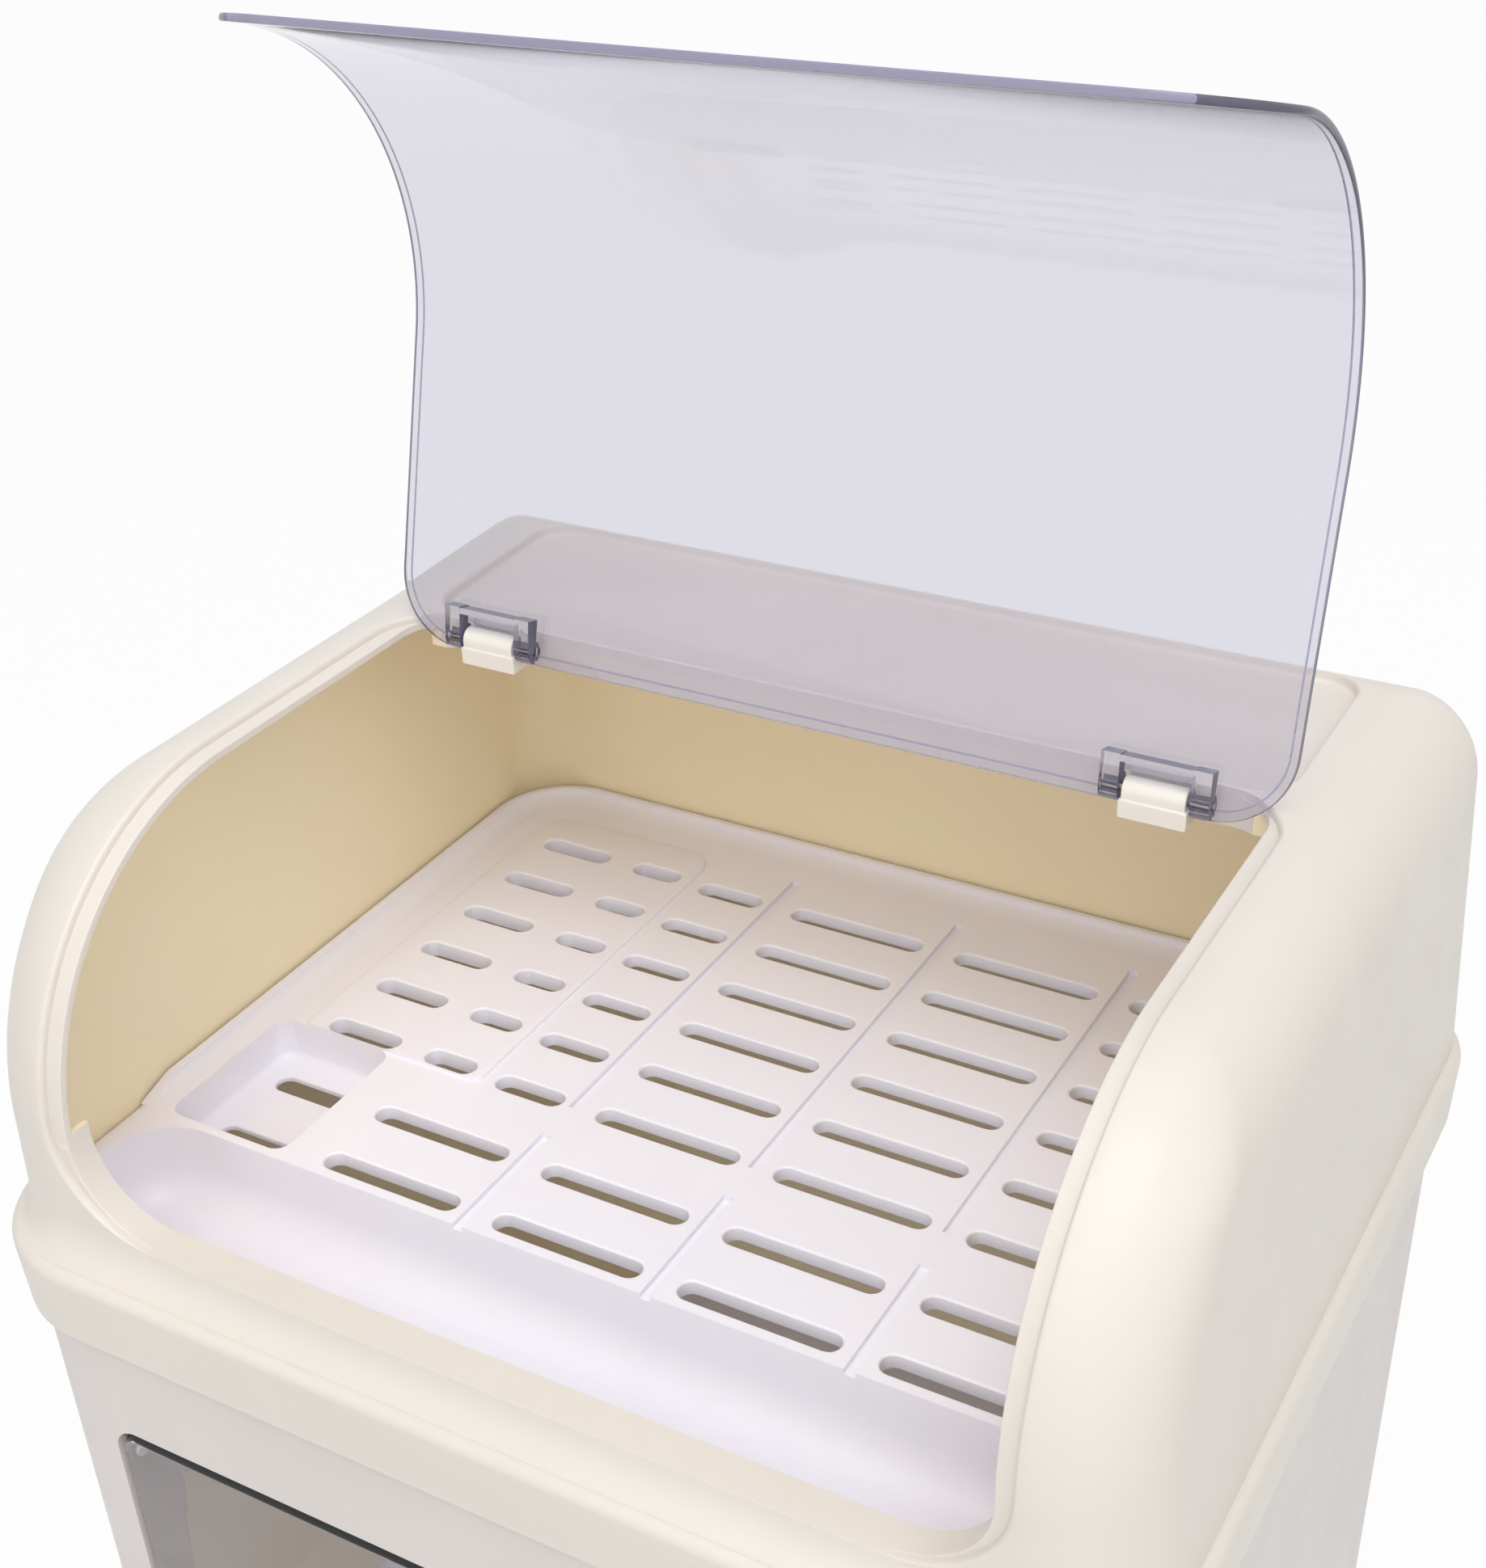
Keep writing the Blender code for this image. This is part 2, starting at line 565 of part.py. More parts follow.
def make_upper_housing(material):
    """Hood, belt and skirt in one shell, open below, with the lid's rebate, opening and recessed deck."""
    rings = [belt_ring(SKIRT_TAPER, SKIRT_BOTTOM_Z)]
    for step in range(EDGE_STEPS + 1):
        angle = math.pi / 2 * step / EDGE_STEPS
        inset = BELT_EDGE_RADIUS * (1 - math.cos(angle))
        rings.append(belt_ring(inset, BELT_TOP_Z - BELT_EDGE_RADIUS + BELT_EDGE_RADIUS * math.sin(angle)))
    for step in range(EDGE_STEPS + 1):
        angle = math.pi / 2 * step / EDGE_STEPS
        z = BELT_TOP_Z + BELT_LEDGE_RISE + BELT_FLARE_HEIGHT * (1 - math.cos(angle))
        rings.append(blend(hood_ring(0.0, 0.0, z), belt_ring(BELT_EDGE_RADIUS, z), 1 - math.sin(angle)))
    housing = loft("upper_housing", rings + hood_top_rings(0.0, 0.0), material)

    inside = [belt_ring(SKIRT_TAPER + SKIRT_WALL, SKIRT_BOTTOM_Z - OVERRUN), belt_ring(SKIRT_WALL, LEDGE_UNDER_Z)]
    inside.append(hood_ring(WALL, LIP_THICKNESS, LEDGE_UNDER_Z))
    cavity = loft("hood_cavity", inside + hood_top_rings(WALL, LIP_THICKNESS))

    width = BELT_HALF_WIDTH + OVERRUN
    deck_front = DECK_EDGE_Y - OVERRUN / 2
    deck_under = CREST_Z - RECESS_DEPTH - DECK_FLOOR_THICKNESS
    deck = box("deck_block", (-width, deck_front, deck_under), (width, BELT_HALF_DEPTH, CREST_Z + OVERRUN))
    apron = box(
        "apron_block",
        (OVERRUN / 2 - OPENING_HALF_WIDTH, deck_front, CREST_Z - APRON_HEIGHT),
        (OPENING_HALF_WIDTH - OVERRUN / 2, DECK_EDGE_Y + WALL, CREST_Z),
    )
    shelf_corner = LID_FREE_CORNER - SEAT_WIDTH
    shelf_z = RIM_SHELF_Z - WALL
    shelf_top = RIM_SHELF_Z + shelf_corner + WALL
    shelf_back = RIM_SHELF_DEPTH - HOOD_FRONT
    shelf_half = OPENING_HALF_WIDTH + WALL
    ring_front = -shelf_z
    shelf_rings = [
        rounded_ring(shelf_half, ring_front, shelf_top, shelf_corner + WALL, WALL / 2, depth)
        for depth in (-shelf_back, HOOD_FRONT + OVERRUN)
    ]
    shelf = loft("rim_shelf_block", shelf_rings, turn=Matrix.Rotation(math.pi / 2, 4, "X"))
    for block in (deck, apron, shelf):
        boolean(cavity, block)

    opening_corners = (OPENING_BACK_CORNER, shelf_corner)
    opening_depth = (-APRON_HEIGHT - OVERRUN, OVERRUN)
    opening = curved_plate(
        "lid_opening", 0.0, PATH_TO_SHELF, OPENING_HALF_WIDTH, opening_corners, opening_depth, CUTTER_ARC_STEPS
    )
    rebate_corners = (LID_HINGE_CORNER, LID_FREE_CORNER)
    rebate = curved_plate(
        "lid_rebate", 0.0, PATH_TO_SHELF, REBATE_HALF_WIDTH, rebate_corners, (-LID_SEAT_DEPTH, OVERRUN)
    )
    recess_front = -(DECK_EDGE_Y + WALL)
    recess = loft(
        "deck_recess",
        [
            rounded_ring(RECESS_HALF_WIDTH - taper, recess_front - taper, RECESS_BACK - taper, corner, corner, z)
            for taper, corner, z in (
                (RECESS_TAPER, RECESS_CORNER - RECESS_TAPER, CREST_Z - RECESS_DEPTH),
                (0.0, RECESS_CORNER, CREST_Z),
                (0.0, RECESS_CORNER, CREST_Z + OVERRUN),
            )
        ],
    )
    tab_slots = blocks("tab_slots", [tab_corners(side, PIN_GAP) for side in (-1, 1)])
    for cutter in (cavity, opening, rebate, recess, tab_slots):
        boolean(housing, cutter)
    return housing


def tab_corners(side, gap):
    """Corners of a knuckle's mounting tab, or of its slot when a gap is given."""
    x = side * HINGE_X
    top = PIN_Z - TAB_TOP_DROP
    low = (x - TAB_HALF_WIDTH - gap, DECK_EDGE_Y - SEAT_GAP - OVERRUN / 2, top - TAB_THICKNESS - gap)
    high = (x + TAB_HALF_WIDTH + gap, DECK_EDGE_Y + TAB_REACH, top + gap)
    return low, high


def make_lid(material):
    """Bent clear lid with hinge ears, drawn closed about its pin and then swung open."""
    to_pin = Matrix.Translation((0.0, -PIN_Y, -PIN_Z))
    start = DECK_EDGE_SETBACK - LID_TAIL
    lid = curved_plate(
        "lid",
        start,
        PATH_TO_SHELF - LID_END_GAP,
        LID_HALF_WIDTH,
        (LID_HINGE_CORNER, LID_FREE_CORNER),
        (-LID_THICKNESS, 0.0),
        edge_radius=LID_EDGE_RADIUS,
        material=material,
        turn=to_pin,
    )
    ear_inner = KNUCKLE_HALF_WIDTH + KNUCKLE_SIDE_GAP
    skin = LID_THICKNESS - LID_EDGE_RADIUS
    turns = [math.pi * i / EAR_ARC_STEPS for i in range(EAR_ARC_STEPS + 1)]
    boss = [(EAR_BOSS_RADIUS * math.sin(turn), -EAR_BOSS_RADIUS * math.cos(turn)) for turn in turns]
    ear_outline = [(-EAR_REACH, skin), (-EAR_REACH, -EAR_DEPTH)] + boss + [(-EAR_BOSS_RADIUS, skin)]
    notch_half = ear_inner + EAR_LAP
    for side in (-1, 1):
        x = side * HINGE_X
        notch = box(
            f"lid_notch_{side}",
            (x - notch_half, -NOTCH_REACH, -LID_THICKNESS),
            (x + notch_half, LID_TAIL + OVERRUN, LID_THICKNESS + OVERRUN),
        )
        boolean(lid, notch)
        ear_spans = ((-EAR_OUTER_HALF_WIDTH, -ear_inner), (ear_inner, EAR_OUTER_HALF_WIDTH))
        for edge, (low, high) in enumerate(ear_spans):
            ear = side_prism(f"ear_{side}_{edge}", ear_outline, x + low, x + high)
            boolean(lid, ear, "UNION")
        bar = box(
            f"ear_bar_{side}",
            (x - ear_inner - OVERRUN / 2, EAR_LAP - EAR_REACH, EAR_LAP - EAR_DEPTH),
            (x + ear_inner + OVERRUN / 2, EAR_BAR_THICKNESS - EAR_REACH, skin - EAR_LAP),
        )
        boolean(lid, bar, "UNION")
        reach = EAR_OUTER_HALF_WIDTH + PIN_GAP
        bore = cross_cylinder(f"ear_bore_{side}", PIN_RADIUS + PIN_GAP, x - reach, x + reach, 0.0, 0.0)
        boolean(lid, bore)
    place_on_hinge(lid)
    return lid


def place_on_hinge(lid):
    """Swing the lid and its cutters from closed to open on the pin's axis."""
    swing = -(math.pi / 2 + LID_OPEN_LEAN)
    for item in [lid] + [modifier.object for modifier in lid.modifiers]:
        item.location = (0.0, PIN_Y, PIN_Z)
        item.rotation_euler = (swing, 0.0, 0.0)


def make_knuckle(name, side, material):
    """Cream hinge knuckle: base block, tongue with the pin's boss and the lid's stop, and mounting tab."""
    back = DECK_EDGE_SETBACK - SEAT_GAP
    x = side * HINGE_X
    sheet = (math.sin(LID_OPEN_LEAN), math.cos(LID_OPEN_LEAN))
    normal = (math.cos(LID_OPEN_LEAN), -math.sin(LID_OPEN_LEAN))
    stop_offset = LID_THICKNESS + SEAT_GAP
    foot_rise = math.sqrt(EAR_BOSS_RADIUS ** 2 - stop_offset ** 2)

    def on_stop(rise):
        return tuple(n * stop_offset + s * rise for n, s in zip(normal, sheet))

    foot = on_stop(foot_rise)
    last = math.atan2(foot[1], foot[0])
    arc = []
    for step in range(EAR_ARC_STEPS + 1):
        angle = last + (math.pi - last) * step / EAR_ARC_STEPS
        arc.append((EAR_BOSS_RADIUS * math.cos(angle), EAR_BOSS_RADIUS * math.sin(angle)))
    peak = on_stop(STOP_RISE)
    tongue_outline = [
        (-EAR_BOSS_RADIUS, -KNUCKLE_DROP + KNUCKLE_SHOULDER_DROP),
        (back, -KNUCKLE_DROP + KNUCKLE_SHOULDER_DROP),
        (back, LID_THICKNESS),
        ((peak[0] + back) / 2, peak[1]),
        peak,
    ] + arc
    base_outline = [
        (-KNUCKLE_FRONT, -KNUCKLE_DROP),
        (back, -KNUCKLE_DROP),
        (back, -KNUCKLE_SHOULDER_DROP),
        (-KNUCKLE_FRONT, -KNUCKLE_SHOULDER_DROP),
    ]
    half = KNUCKLE_HALF_WIDTH
    knuckle = side_prism(name, base_outline, x - half, x + half, material)
    tongue = side_prism(f"{name}_tongue", tongue_outline, x - TONGUE_HALF_WIDTH, x + TONGUE_HALF_WIDTH)
    low, high = tab_corners(side, 0.0)
    tab = box(
        f"{name}_tab",
        (low[0], low[1] - PIN_Y, low[2] - PIN_Z),
        (high[0], high[1] - PIN_Y, high[2] - PIN_Z),
    )
    bore = cross_cylinder(f"{name}_bore", PIN_RADIUS + PIN_GAP, x - half - OVERRUN, x + half + OVERRUN, 0.0, 0.0)
    boolean(knuckle, tongue, "UNION")
    boolean(knuckle, tab, "UNION")
    boolean(knuckle, bore)
    for item in (knuckle, tongue, tab, bore):
        item.location = (0.0, PIN_Y, PIN_Z)
    return knuckle


def make_hinge_pin(name, side, material):
    """Straight steel pin through the ears and the knuckle's tongue."""
    half = PIN_LENGTH / 2
    chamfer = PIN_RADIUS / 4
    profile = [
        (PIN_RADIUS - chamfer, -half),
        (PIN_RADIUS, chamfer - half),
        (PIN_RADIUS, half - chamfer),
        (PIN_RADIUS - chamfer, half),
    ]
    pin = turned(name, profile, material)
    pin.location = (side * HINGE_X, PIN_Y, PIN_Z)
    pin.rotation_euler = (0.0, math.pi / 2, 0.0)
    return pin


def tray_outline():
    """(half width, front, back, corner) of the upper tray's panel, inside the hood."""
    gap = WALL + TRAY_SIDE_GAP
    side = hood_half_width(PANEL_Z) - gap
    front = HOOD_FRONT - LIP_THICKNESS - TRAY_SIDE_GAP
    return side, front, hood_back(PANEL_Z) - gap, TRAY_CORNER


def column_range(shares, side):
    """Low and high X of a column, from its shares of the tray's half width."""
    return shares[0] * side, shares[1] * side


def make_upper_tray(material):
    """Slotted drain tray: flange, panel, raised left field, side pocket, front gutter and cored underside."""
    side, front, back, corner = tray_outline()
    top = []
    for step in range(EDGE_STEPS + 1):
        angle = math.pi / 2 * step / EDGE_STEPS
        inset = TRAY_SHOULDER * (1 - math.cos(angle))
        z = TRAY_FLANGE_TOP_Z + TRAY_TOP_RISE * math.sin(angle)
        top.append(rounded_ring(side - inset, front - inset, back - inset, corner - inset, corner - inset, z))
    flange = [belt_ring(TRAY_FLANGE_INSET, z) for z in (TRAY_FLANGE_BOTTOM_Z, TRAY_FLANGE_TOP_Z)]
    tray = loft("upper_drain_tray", flange + top, material)

    plateau_low, plateau_high = column_range(PLATEAU_SHARES, side)
    plateau_half = (plateau_high - plateau_low) / 2
    plateau_x = (plateau_high + plateau_low) / 2
    plateau_top = PANEL_Z + PLATEAU_RISE
    plateau_rings = [
        rounded_ring(
            plateau_half - inset, -PLATEAU_FRONT_Y, PLATEAU_BACK_Y - inset, POCKET_CORNER / 2,
            PLATEAU_CORNER - inset, z, plateau_x,
        )
        for inset, z in (
            (0.0, PANEL_Z - TRAY_TOP_EDGE), (0.0, plateau_top - TRAY_TOP_EDGE), (TRAY_TOP_EDGE, plateau_top),
        )
    ]
    plateau = loft("tray_plateau", plateau_rings)
    pocket_low, pocket_high = column_range(POCKET_SHARES, side)
    pocket_half = (pocket_high - pocket_low) / 2
    pocket_x = (pocket_high + pocket_low) / 2
    pocket_floor = PANEL_Z - POCKET_DEPTH
    gutter_floor = PANEL_Z - GUTTER_DEPTH
    gutter_side = side - TRAY_SKIN - POCKET_CORNER
    gutter_front = front - TRAY_SKIN
    join_z = (TRAY_FLANGE_BOTTOM_Z + TRAY_FLANGE_TOP_Z) / 2

    def tub(name, grow, floor_z, top_z, sizes):
        half, tub_front, tub_back, radius, fillet, x = sizes
        sides = (half + grow, tub_front + grow, tub_back + grow, radius + grow)
        return loft(name, tub_rings(*sides, floor_z, top_z, fillet + grow, x))

    pocket_sizes = (pocket_half, -POCKET_FRONT_Y, PLATEAU_FRONT_Y, POCKET_CORNER, POCKET_CORNER / 2, pocket_x)
    gutter_corner = (gutter_front + PANEL_FRONT_Y) * GUTTER_CORNER_SHARE
    gutter_sizes = (gutter_side, gutter_front, PANEL_FRONT_Y, gutter_corner, GUTTER_FILLET, 0.0)
    above = plateau_top + OVERRUN
    tubs = (
        tub("pocket_tub", TRAY_SKIN, pocket_floor - TRAY_SKIN, join_z, pocket_sizes),
        tub("gutter_tub", TRAY_SKIN, gutter_floor - TRAY_SKIN, join_z, gutter_sizes),
    )
    for piece in (plateau, *tubs):
        boolean(tray, piece, "UNION")
    boolean(tray, tub("gutter_hollow", 0.0, gutter_floor, above, gutter_sizes))
    boolean(tray, tub("pocket_hollow", 0.0, pocket_floor, above, pocket_sizes))

    under = TRAY_FLANGE_BOTTOM_Z - OVERRUN
    boolean(tray, blocks("tray_coring", coring_places(side, back, under)))
    boolean(tray, slots("tray_slots", slot_places(side), under, above))
    pocket_slot = (pocket_low + POCKET_SLOT_END_INSET, pocket_low + POCKET_SLOT_END_INSET + POCKET_SLOT_LENGTH)
    pocket_rows = (PLATEAU_FRONT_Y - POCKET_ROW_INSET, POCKET_FRONT_Y + POCKET_ROW_INSET)
    pocket_places = [(*pocket_slot, y, SLOT_WIDTH) for y in pocket_rows]
    boolean(tray, slots("pocket_slots", pocket_places, pocket_floor - TRAY_SKIN - OVERRUN, above))
    grooves = []
    for share in GROOVE_SHARES:
        x = share * side
        for low_y, high_y in ((GROOVE_GAP_BACK_Y, GROOVE_BACK_Y), (PANEL_FRONT_Y - OVERRUN, GROOVE_GAP_FRONT_Y)):
            grooves.append(
                ((x - GROOVE_WIDTH / 2, low_y, PANEL_Z - GROOVE_DEPTH), (x + GROOVE_WIDTH / 2, high_y, above))
            )
    boolean(tray, blocks("tray_grooves", grooves))
    return tray


def slot_places(side):
    """Places of the drain slots in the panel and the raised field."""
    places = []
    for row in range(BACK_ROWS):
        y = BACK_ROW_Y - row * ROW_PITCH
        for shares in NARROW_COLUMN_SHARES + WIDE_COLUMN_SHARES:
            places.append((*column_range(shares, side), y, SLOT_WIDTH))
    for row in range(FRONT_ROWS):
        y = FRONT_ROW_Y - row * ROW_PITCH
        for shares in FRONT_COLUMN_SHARES:
            places.append((*column_range(shares, side), y, SLOT_WIDTH))
    return places


def coring_places(side, back, under):
    """Blocks cut from below, so that thick plastic is left only round the slots and under the grooves."""
    top = PANEL_Z - TRAY_SKIN
    reach = SLOT_WIDTH / 2 + SLOT_COLLAR
    places = []
    rows = [BACK_ROW_Y - row * ROW_PITCH for row in range(BACK_ROWS)]
    for shares in WIDE_COLUMN_SHARES:
        low_x, high_x = column_range(shares, side)
        for y, next_y in zip(rows, rows[1:] + [FRONT_ROW_Y]):
            places.append(((low_x, next_y + reach, under), (high_x, y - reach, top)))
        places.append(((low_x, rows[0] + reach, under), (high_x, back - TRAY_FLANGE_INSET, top)))
    for shares in FRONT_COLUMN_SHARES[1:]:
        low_x, high_x = column_range(shares, side)
        y = FRONT_ROW_Y - reach
        places.append(((low_x, FRONT_ROW_Y - ROW_PITCH + reach, under), (high_x, y, top)))
    low_x, high_x = column_range(PLATEAU_SHARES, side)
    places.append(
        (
            (low_x + SLOT_COLLAR, PLATEAU_FRONT_Y + SLOT_COLLAR + TRAY_SKIN, under),
            (high_x - SLOT_COLLAR, PLATEAU_BACK_Y - SLOT_COLLAR, PANEL_Z + PLATEAU_RISE - TRAY_SKIN),
        )
    )
    return places


def door_plane_y(z):
    """Y of the lower housing's outer front face at a height."""
    return lower_inset(z) - LOWER_FRONT


def door_pivot():
    """World place of the door's hinge axis."""
    return 0.0, door_plane_y(DOOR_PIVOT_Z) + DOOR_PIVOT_DEPTH, DOOR_PIVOT_Z


def make_lower_housing(material):
    """Open-topped box with a flanged rim, the door's window, sill stop, pivot lugs and foot holes."""
    rings = []
    for step in range(EDGE_STEPS + 1):
        angle = math.pi / 2 * step / EDGE_STEPS
        inset = LOWER_BOTTOM_EDGE * (1 - math.sin(angle))
        rings.append(lower_ring(inset, FOOT_HEIGHT + LOWER_BOTTOM_EDGE * (1 - math.cos(angle))))
    rings.append(lower_ring(0.0, LOWER_TOP_Z))
    housing = loft("lower_housing", rings, material)

    fillet = LOWER_BOTTOM_EDGE - WALL
    inside = []
    for step in range(EDGE_STEPS + 1):
        angle = math.pi / 2 * step / EDGE_STEPS
        inside.append(lower_ring(WALL + fillet * (1 - math.sin(angle)), FLOOR_Z + fillet * (1 - math.cos(angle))))
    inside.append(lower_ring(WALL, LOWER_TOP_Z + OVERRUN))
    cavity = loft("lower_cavity", inside)

    _, pivot_y, pivot_z = door_pivot()
    wall_y = door_plane_y(pivot_z) + WALL / 2
    for side in (-1, 1):
        low_x, high_x = sorted((side * WINDOW_HALF_WIDTH, side * (WINDOW_HALF_WIDTH + LUG_WIDTH)))
        low = (low_x, wall_y, pivot_z - LUG_HALF_HEIGHT)
        high = (high_x, pivot_y + LUG_BACK, pivot_z + LUG_HALF_HEIGHT)
        boolean(cavity, box(f"pivot_lug_{side}", low, high))
    sill_top = WINDOW_BOTTOM_Z - SILL_TOP_DROP
    sill_front = door_plane_y(sill_top) + WALL / 2
    stop_front = door_plane_y(DOOR_BOTTOM_Z) + DOOR_FOOT_DEPTH + LAY_GAP + door_foot_shift()
    stop_back = stop_front + SILL_STOP_THICKNESS
    sill_half = WINDOW_HALF_WIDTH - WINDOW_CORNER
    sill_low = (-sill_half, sill_front, sill_top - SILL_THICKNESS)
    boolean(cavity, box("sill", sill_low, (sill_half, stop_back, sill_top)))
    stop_low = (-sill_half, stop_front, sill_top - SILL_THICKNESS)
    boolean(cavity, box("sill_stop", stop_low, (sill_half, stop_back, sill_top + SILL_STOP_RISE)))
    boolean(housing, cavity)

    window_rings = [
        rounded_ring(WINDOW_HALF_WIDTH, -WINDOW_BOTTOM_Z, WINDOW_TOP_Z, WINDOW_CORNER, WINDOW_CORNER, depth)
        for depth in (-door_plane_y(FOOT_HEIGHT) - WALL - OVERRUN, LOWER_FRONT + OVERRUN)
    ]
    window = loft("window", window_rings, turn=Matrix.Rotation(math.pi / 2, 4, "X"))
    keep_front = door_plane_y(WINDOW_BOTTOM_Z) + WALL
    keep_high = (sill_half, stop_back, sill_top + SILL_STOP_RISE)
    keep = box("window_sill_keep", (-sill_half, keep_front, FOOT_HEIGHT), keep_high)
    boolean(window, keep)
    boolean(housing, window)
    for side in (-1, 1):
        reach = sorted((side * (WINDOW_HALF_WIDTH - OVERRUN), side * (WINDOW_HALF_WIDTH + DOOR_PIN_SINK + PIN_GAP)))
        bore = cross_cylinder(f"lug_bore_{side}", DOOR_PIN_RADIUS + PIN_GAP, *reach, pivot_y, pivot_z)
        boolean(housing, bore)
    for index, (x, y) in enumerate(foot_places()):
        hole = foot_hole(f"foot_hole_{index}", x, y)
        boolean(housing, hole)
    return housing


def door_foot_shift():
    """How far the door's tilt carries its foot behind the wall's plane, measured at the foot."""
    return DOOR_FOOT_DEPTH * (1 / math.cos(LOWER_DRAFT) - 1)


def foot_places():
    """Centres of the four feet."""
    inset = lower_inset(FOOT_HEIGHT) + FOOT_INSET
    x = LOWER_HALF_WIDTH - inset
    return [(side * x, y) for y in (inset - LOWER_FRONT, LOWER_BACK - inset) for side in (-1, 1)]


def foot_hole(name, x, y):
    """Upright round cutter for a foot's stem."""
    radius = FOOT_STEM_RADIUS + PIN_GAP
    return loft(name, [circle(radius, z, (x, y)) for z in (FOOT_HEIGHT - OVERRUN, FLOOR_Z + OVERRUN)])


def make_foot(name, place, material):
    """Rubber foot with a stem that plugs into the floor."""
    top = -LAY_GAP
    profile = [
        (FOOT_RADIUS - FOOT_CHAMFER, -FOOT_HEIGHT),
        (FOOT_RADIUS, FOOT_CHAMFER - FOOT_HEIGHT),
        (FOOT_RADIUS - FOOT_TAPER, top),
        (FOOT_STEM_RADIUS, top),
        (FOOT_STEM_RADIUS, LOWER_FLOOR),
    ]
    foot = turned(name, profile, material)
    foot.location = (*place, FOOT_HEIGHT)
    return foot


def make_door(material):
    """Clear door: a shallow tray lying in the window, with side cheeks for the pivots and a pull lip."""
    upright = Matrix.Rotation(math.pi / 2, 4, "X")
    top = DOOR_PIVOT_DROP
    bottom = DOOR_PIVOT_DROP - (DOOR_TOP_Z - DOOR_BOTTOM_Z)
    face = DOOR_PIVOT_DEPTH
    back = face - DOOR_CHEEK_DEPTH
    corner = WINDOW_CORNER - DOOR_GAP

    def rings(sections):
        return [
            rounded_ring(
                DOOR_HALF_WIDTH - inset, -bottom - inset, top - inset, corner - inset, corner - inset, depth
            )
            for inset, depth in sections
        ]

    edge = DOOR_EDGE_RADIUS
    turns = [math.pi / 2 * i / EDGE_STEPS for i in range(EDGE_STEPS + 1)]
    rounding = [(edge * (1 - math.cos(turn)), face - edge + edge * math.sin(turn)) for turn in turns]
    door = loft("lower_door", rings([(0.0, back)] + rounding), material, upright)
    hollow_sections = [(DOOR_WALL, back - OVERRUN), (DOOR_WALL, face - DOOR_WALL)]
    hollow = loft("door_hollow", rings(hollow_sections), turn=upright)
    slant_top = top - DOOR_CHEEK_STRAIGHT
    foot_y = DOOR_FOOT_DEPTH - face
    cheek_y = -back
    beyond = cheek_y + OVERRUN
    rise = (slant_top - bottom) / (cheek_y - foot_y) * OVERRUN
    taper = side_prism(
        "door_taper",
        [(foot_y, bottom - OVERRUN), (beyond, bottom - OVERRUN), (beyond, slant_top + rise), (foot_y, bottom)],
        -DOOR_HALF_WIDTH - OVERRUN,
        DOOR_HALF_WIDTH + OVERRUN,
    )
    clear_half = DOOR_HALF_WIDTH - corner
    trim = box(
        "door_top_trim",
        (-clear_half, DOOR_TOP_DEPTH - face, top - corner),
        (clear_half, cheek_y + OVERRUN, top + OVERRUN),
    )
    pull_low = bottom + corner
    pull = box(
        "door_pull",
        (-DOOR_PULL_HALF_WIDTH, -face - DOOR_PULL_REACH, pull_low),
        (DOOR_PULL_HALF_WIDTH, DOOR_WALL / 2 - face, pull_low + DOOR_PULL_THICKNESS),
    )
    boolean(door, hollow)
    boolean(door, taper)
    boolean(door, trim)
    boolean(door, pull, "UNION")
    reach = DOOR_HALF_WIDTH + OVERRUN
    bore = cross_cylinder("door_bore", DOOR_PIN_RADIUS + PIN_GAP, -reach, reach, 0.0, 0.0)
    boolean(door, bore)
    for item in (door, hollow, taper, trim, pull, bore):
        item.location = door_pivot()
        item.rotation_euler = (LOWER_DRAFT, 0.0, 0.0)
    return door


def make_door_pin(name, side, material):
    """Headed pivot pin, from inside a door cheek into its lug."""
    cheek_inner = DOOR_HALF_WIDTH - DOOR_WALL
    head_face = cheek_inner - DOOR_PIN_HEAD_GAP
    tip = WINDOW_HALF_WIDTH + DOOR_PIN_SINK
    profile = [
        (DOOR_PIN_HEAD_RADIUS, head_face - DOOR_PIN_HEAD),
        (DOOR_PIN_HEAD_RADIUS, head_face),
        (DOOR_PIN_RADIUS, head_face),
        (DOOR_PIN_RADIUS, tip),
    ]
    pin = turned(name, profile, material)
    pin.location = door_pivot()
    pin.rotation_euler = (0.0, side * math.pi / 2, 0.0)
    return pin


def make_drip_tray(material):
    """Shallow water tray on the floor of the lower housing."""
    def rings(grow, floor_z, top_z):
        found = []
        for inset, z in ((DRIP_TAPER, floor_z), (0.0, top_z)):
            change = inset - grow
            corner = DRIP_CORNER - change
            found.append(
                rounded_ring(DRIP_HALF_WIDTH - change, DRIP_FRONT - change, DRIP_BACK - change, corner, corner, z)
            )
        return found

    tray = loft(
        "drip_tray",
        rings(0.0, DRIP_BOTTOM_Z, DRIP_TOP_Z - DRIP_RIM_THICKNESS) + [
            rounded_ring(
                DRIP_HALF_WIDTH + DRIP_RIM, DRIP_FRONT + DRIP_RIM, DRIP_BACK + DRIP_RIM,
                DRIP_CORNER + DRIP_RIM, DRIP_CORNER + DRIP_RIM, z,
            )
            for z in (DRIP_TOP_Z - DRIP_RIM_THICKNESS, DRIP_TOP_Z)
        ],
        material,
    )
    hollow = loft("drip_hollow", rings(-DRIP_WALL, DRIP_BOTTOM_Z + DRIP_WALL, DRIP_TOP_Z + OVERRUN))
    boolean(tray, hollow)
    return tray


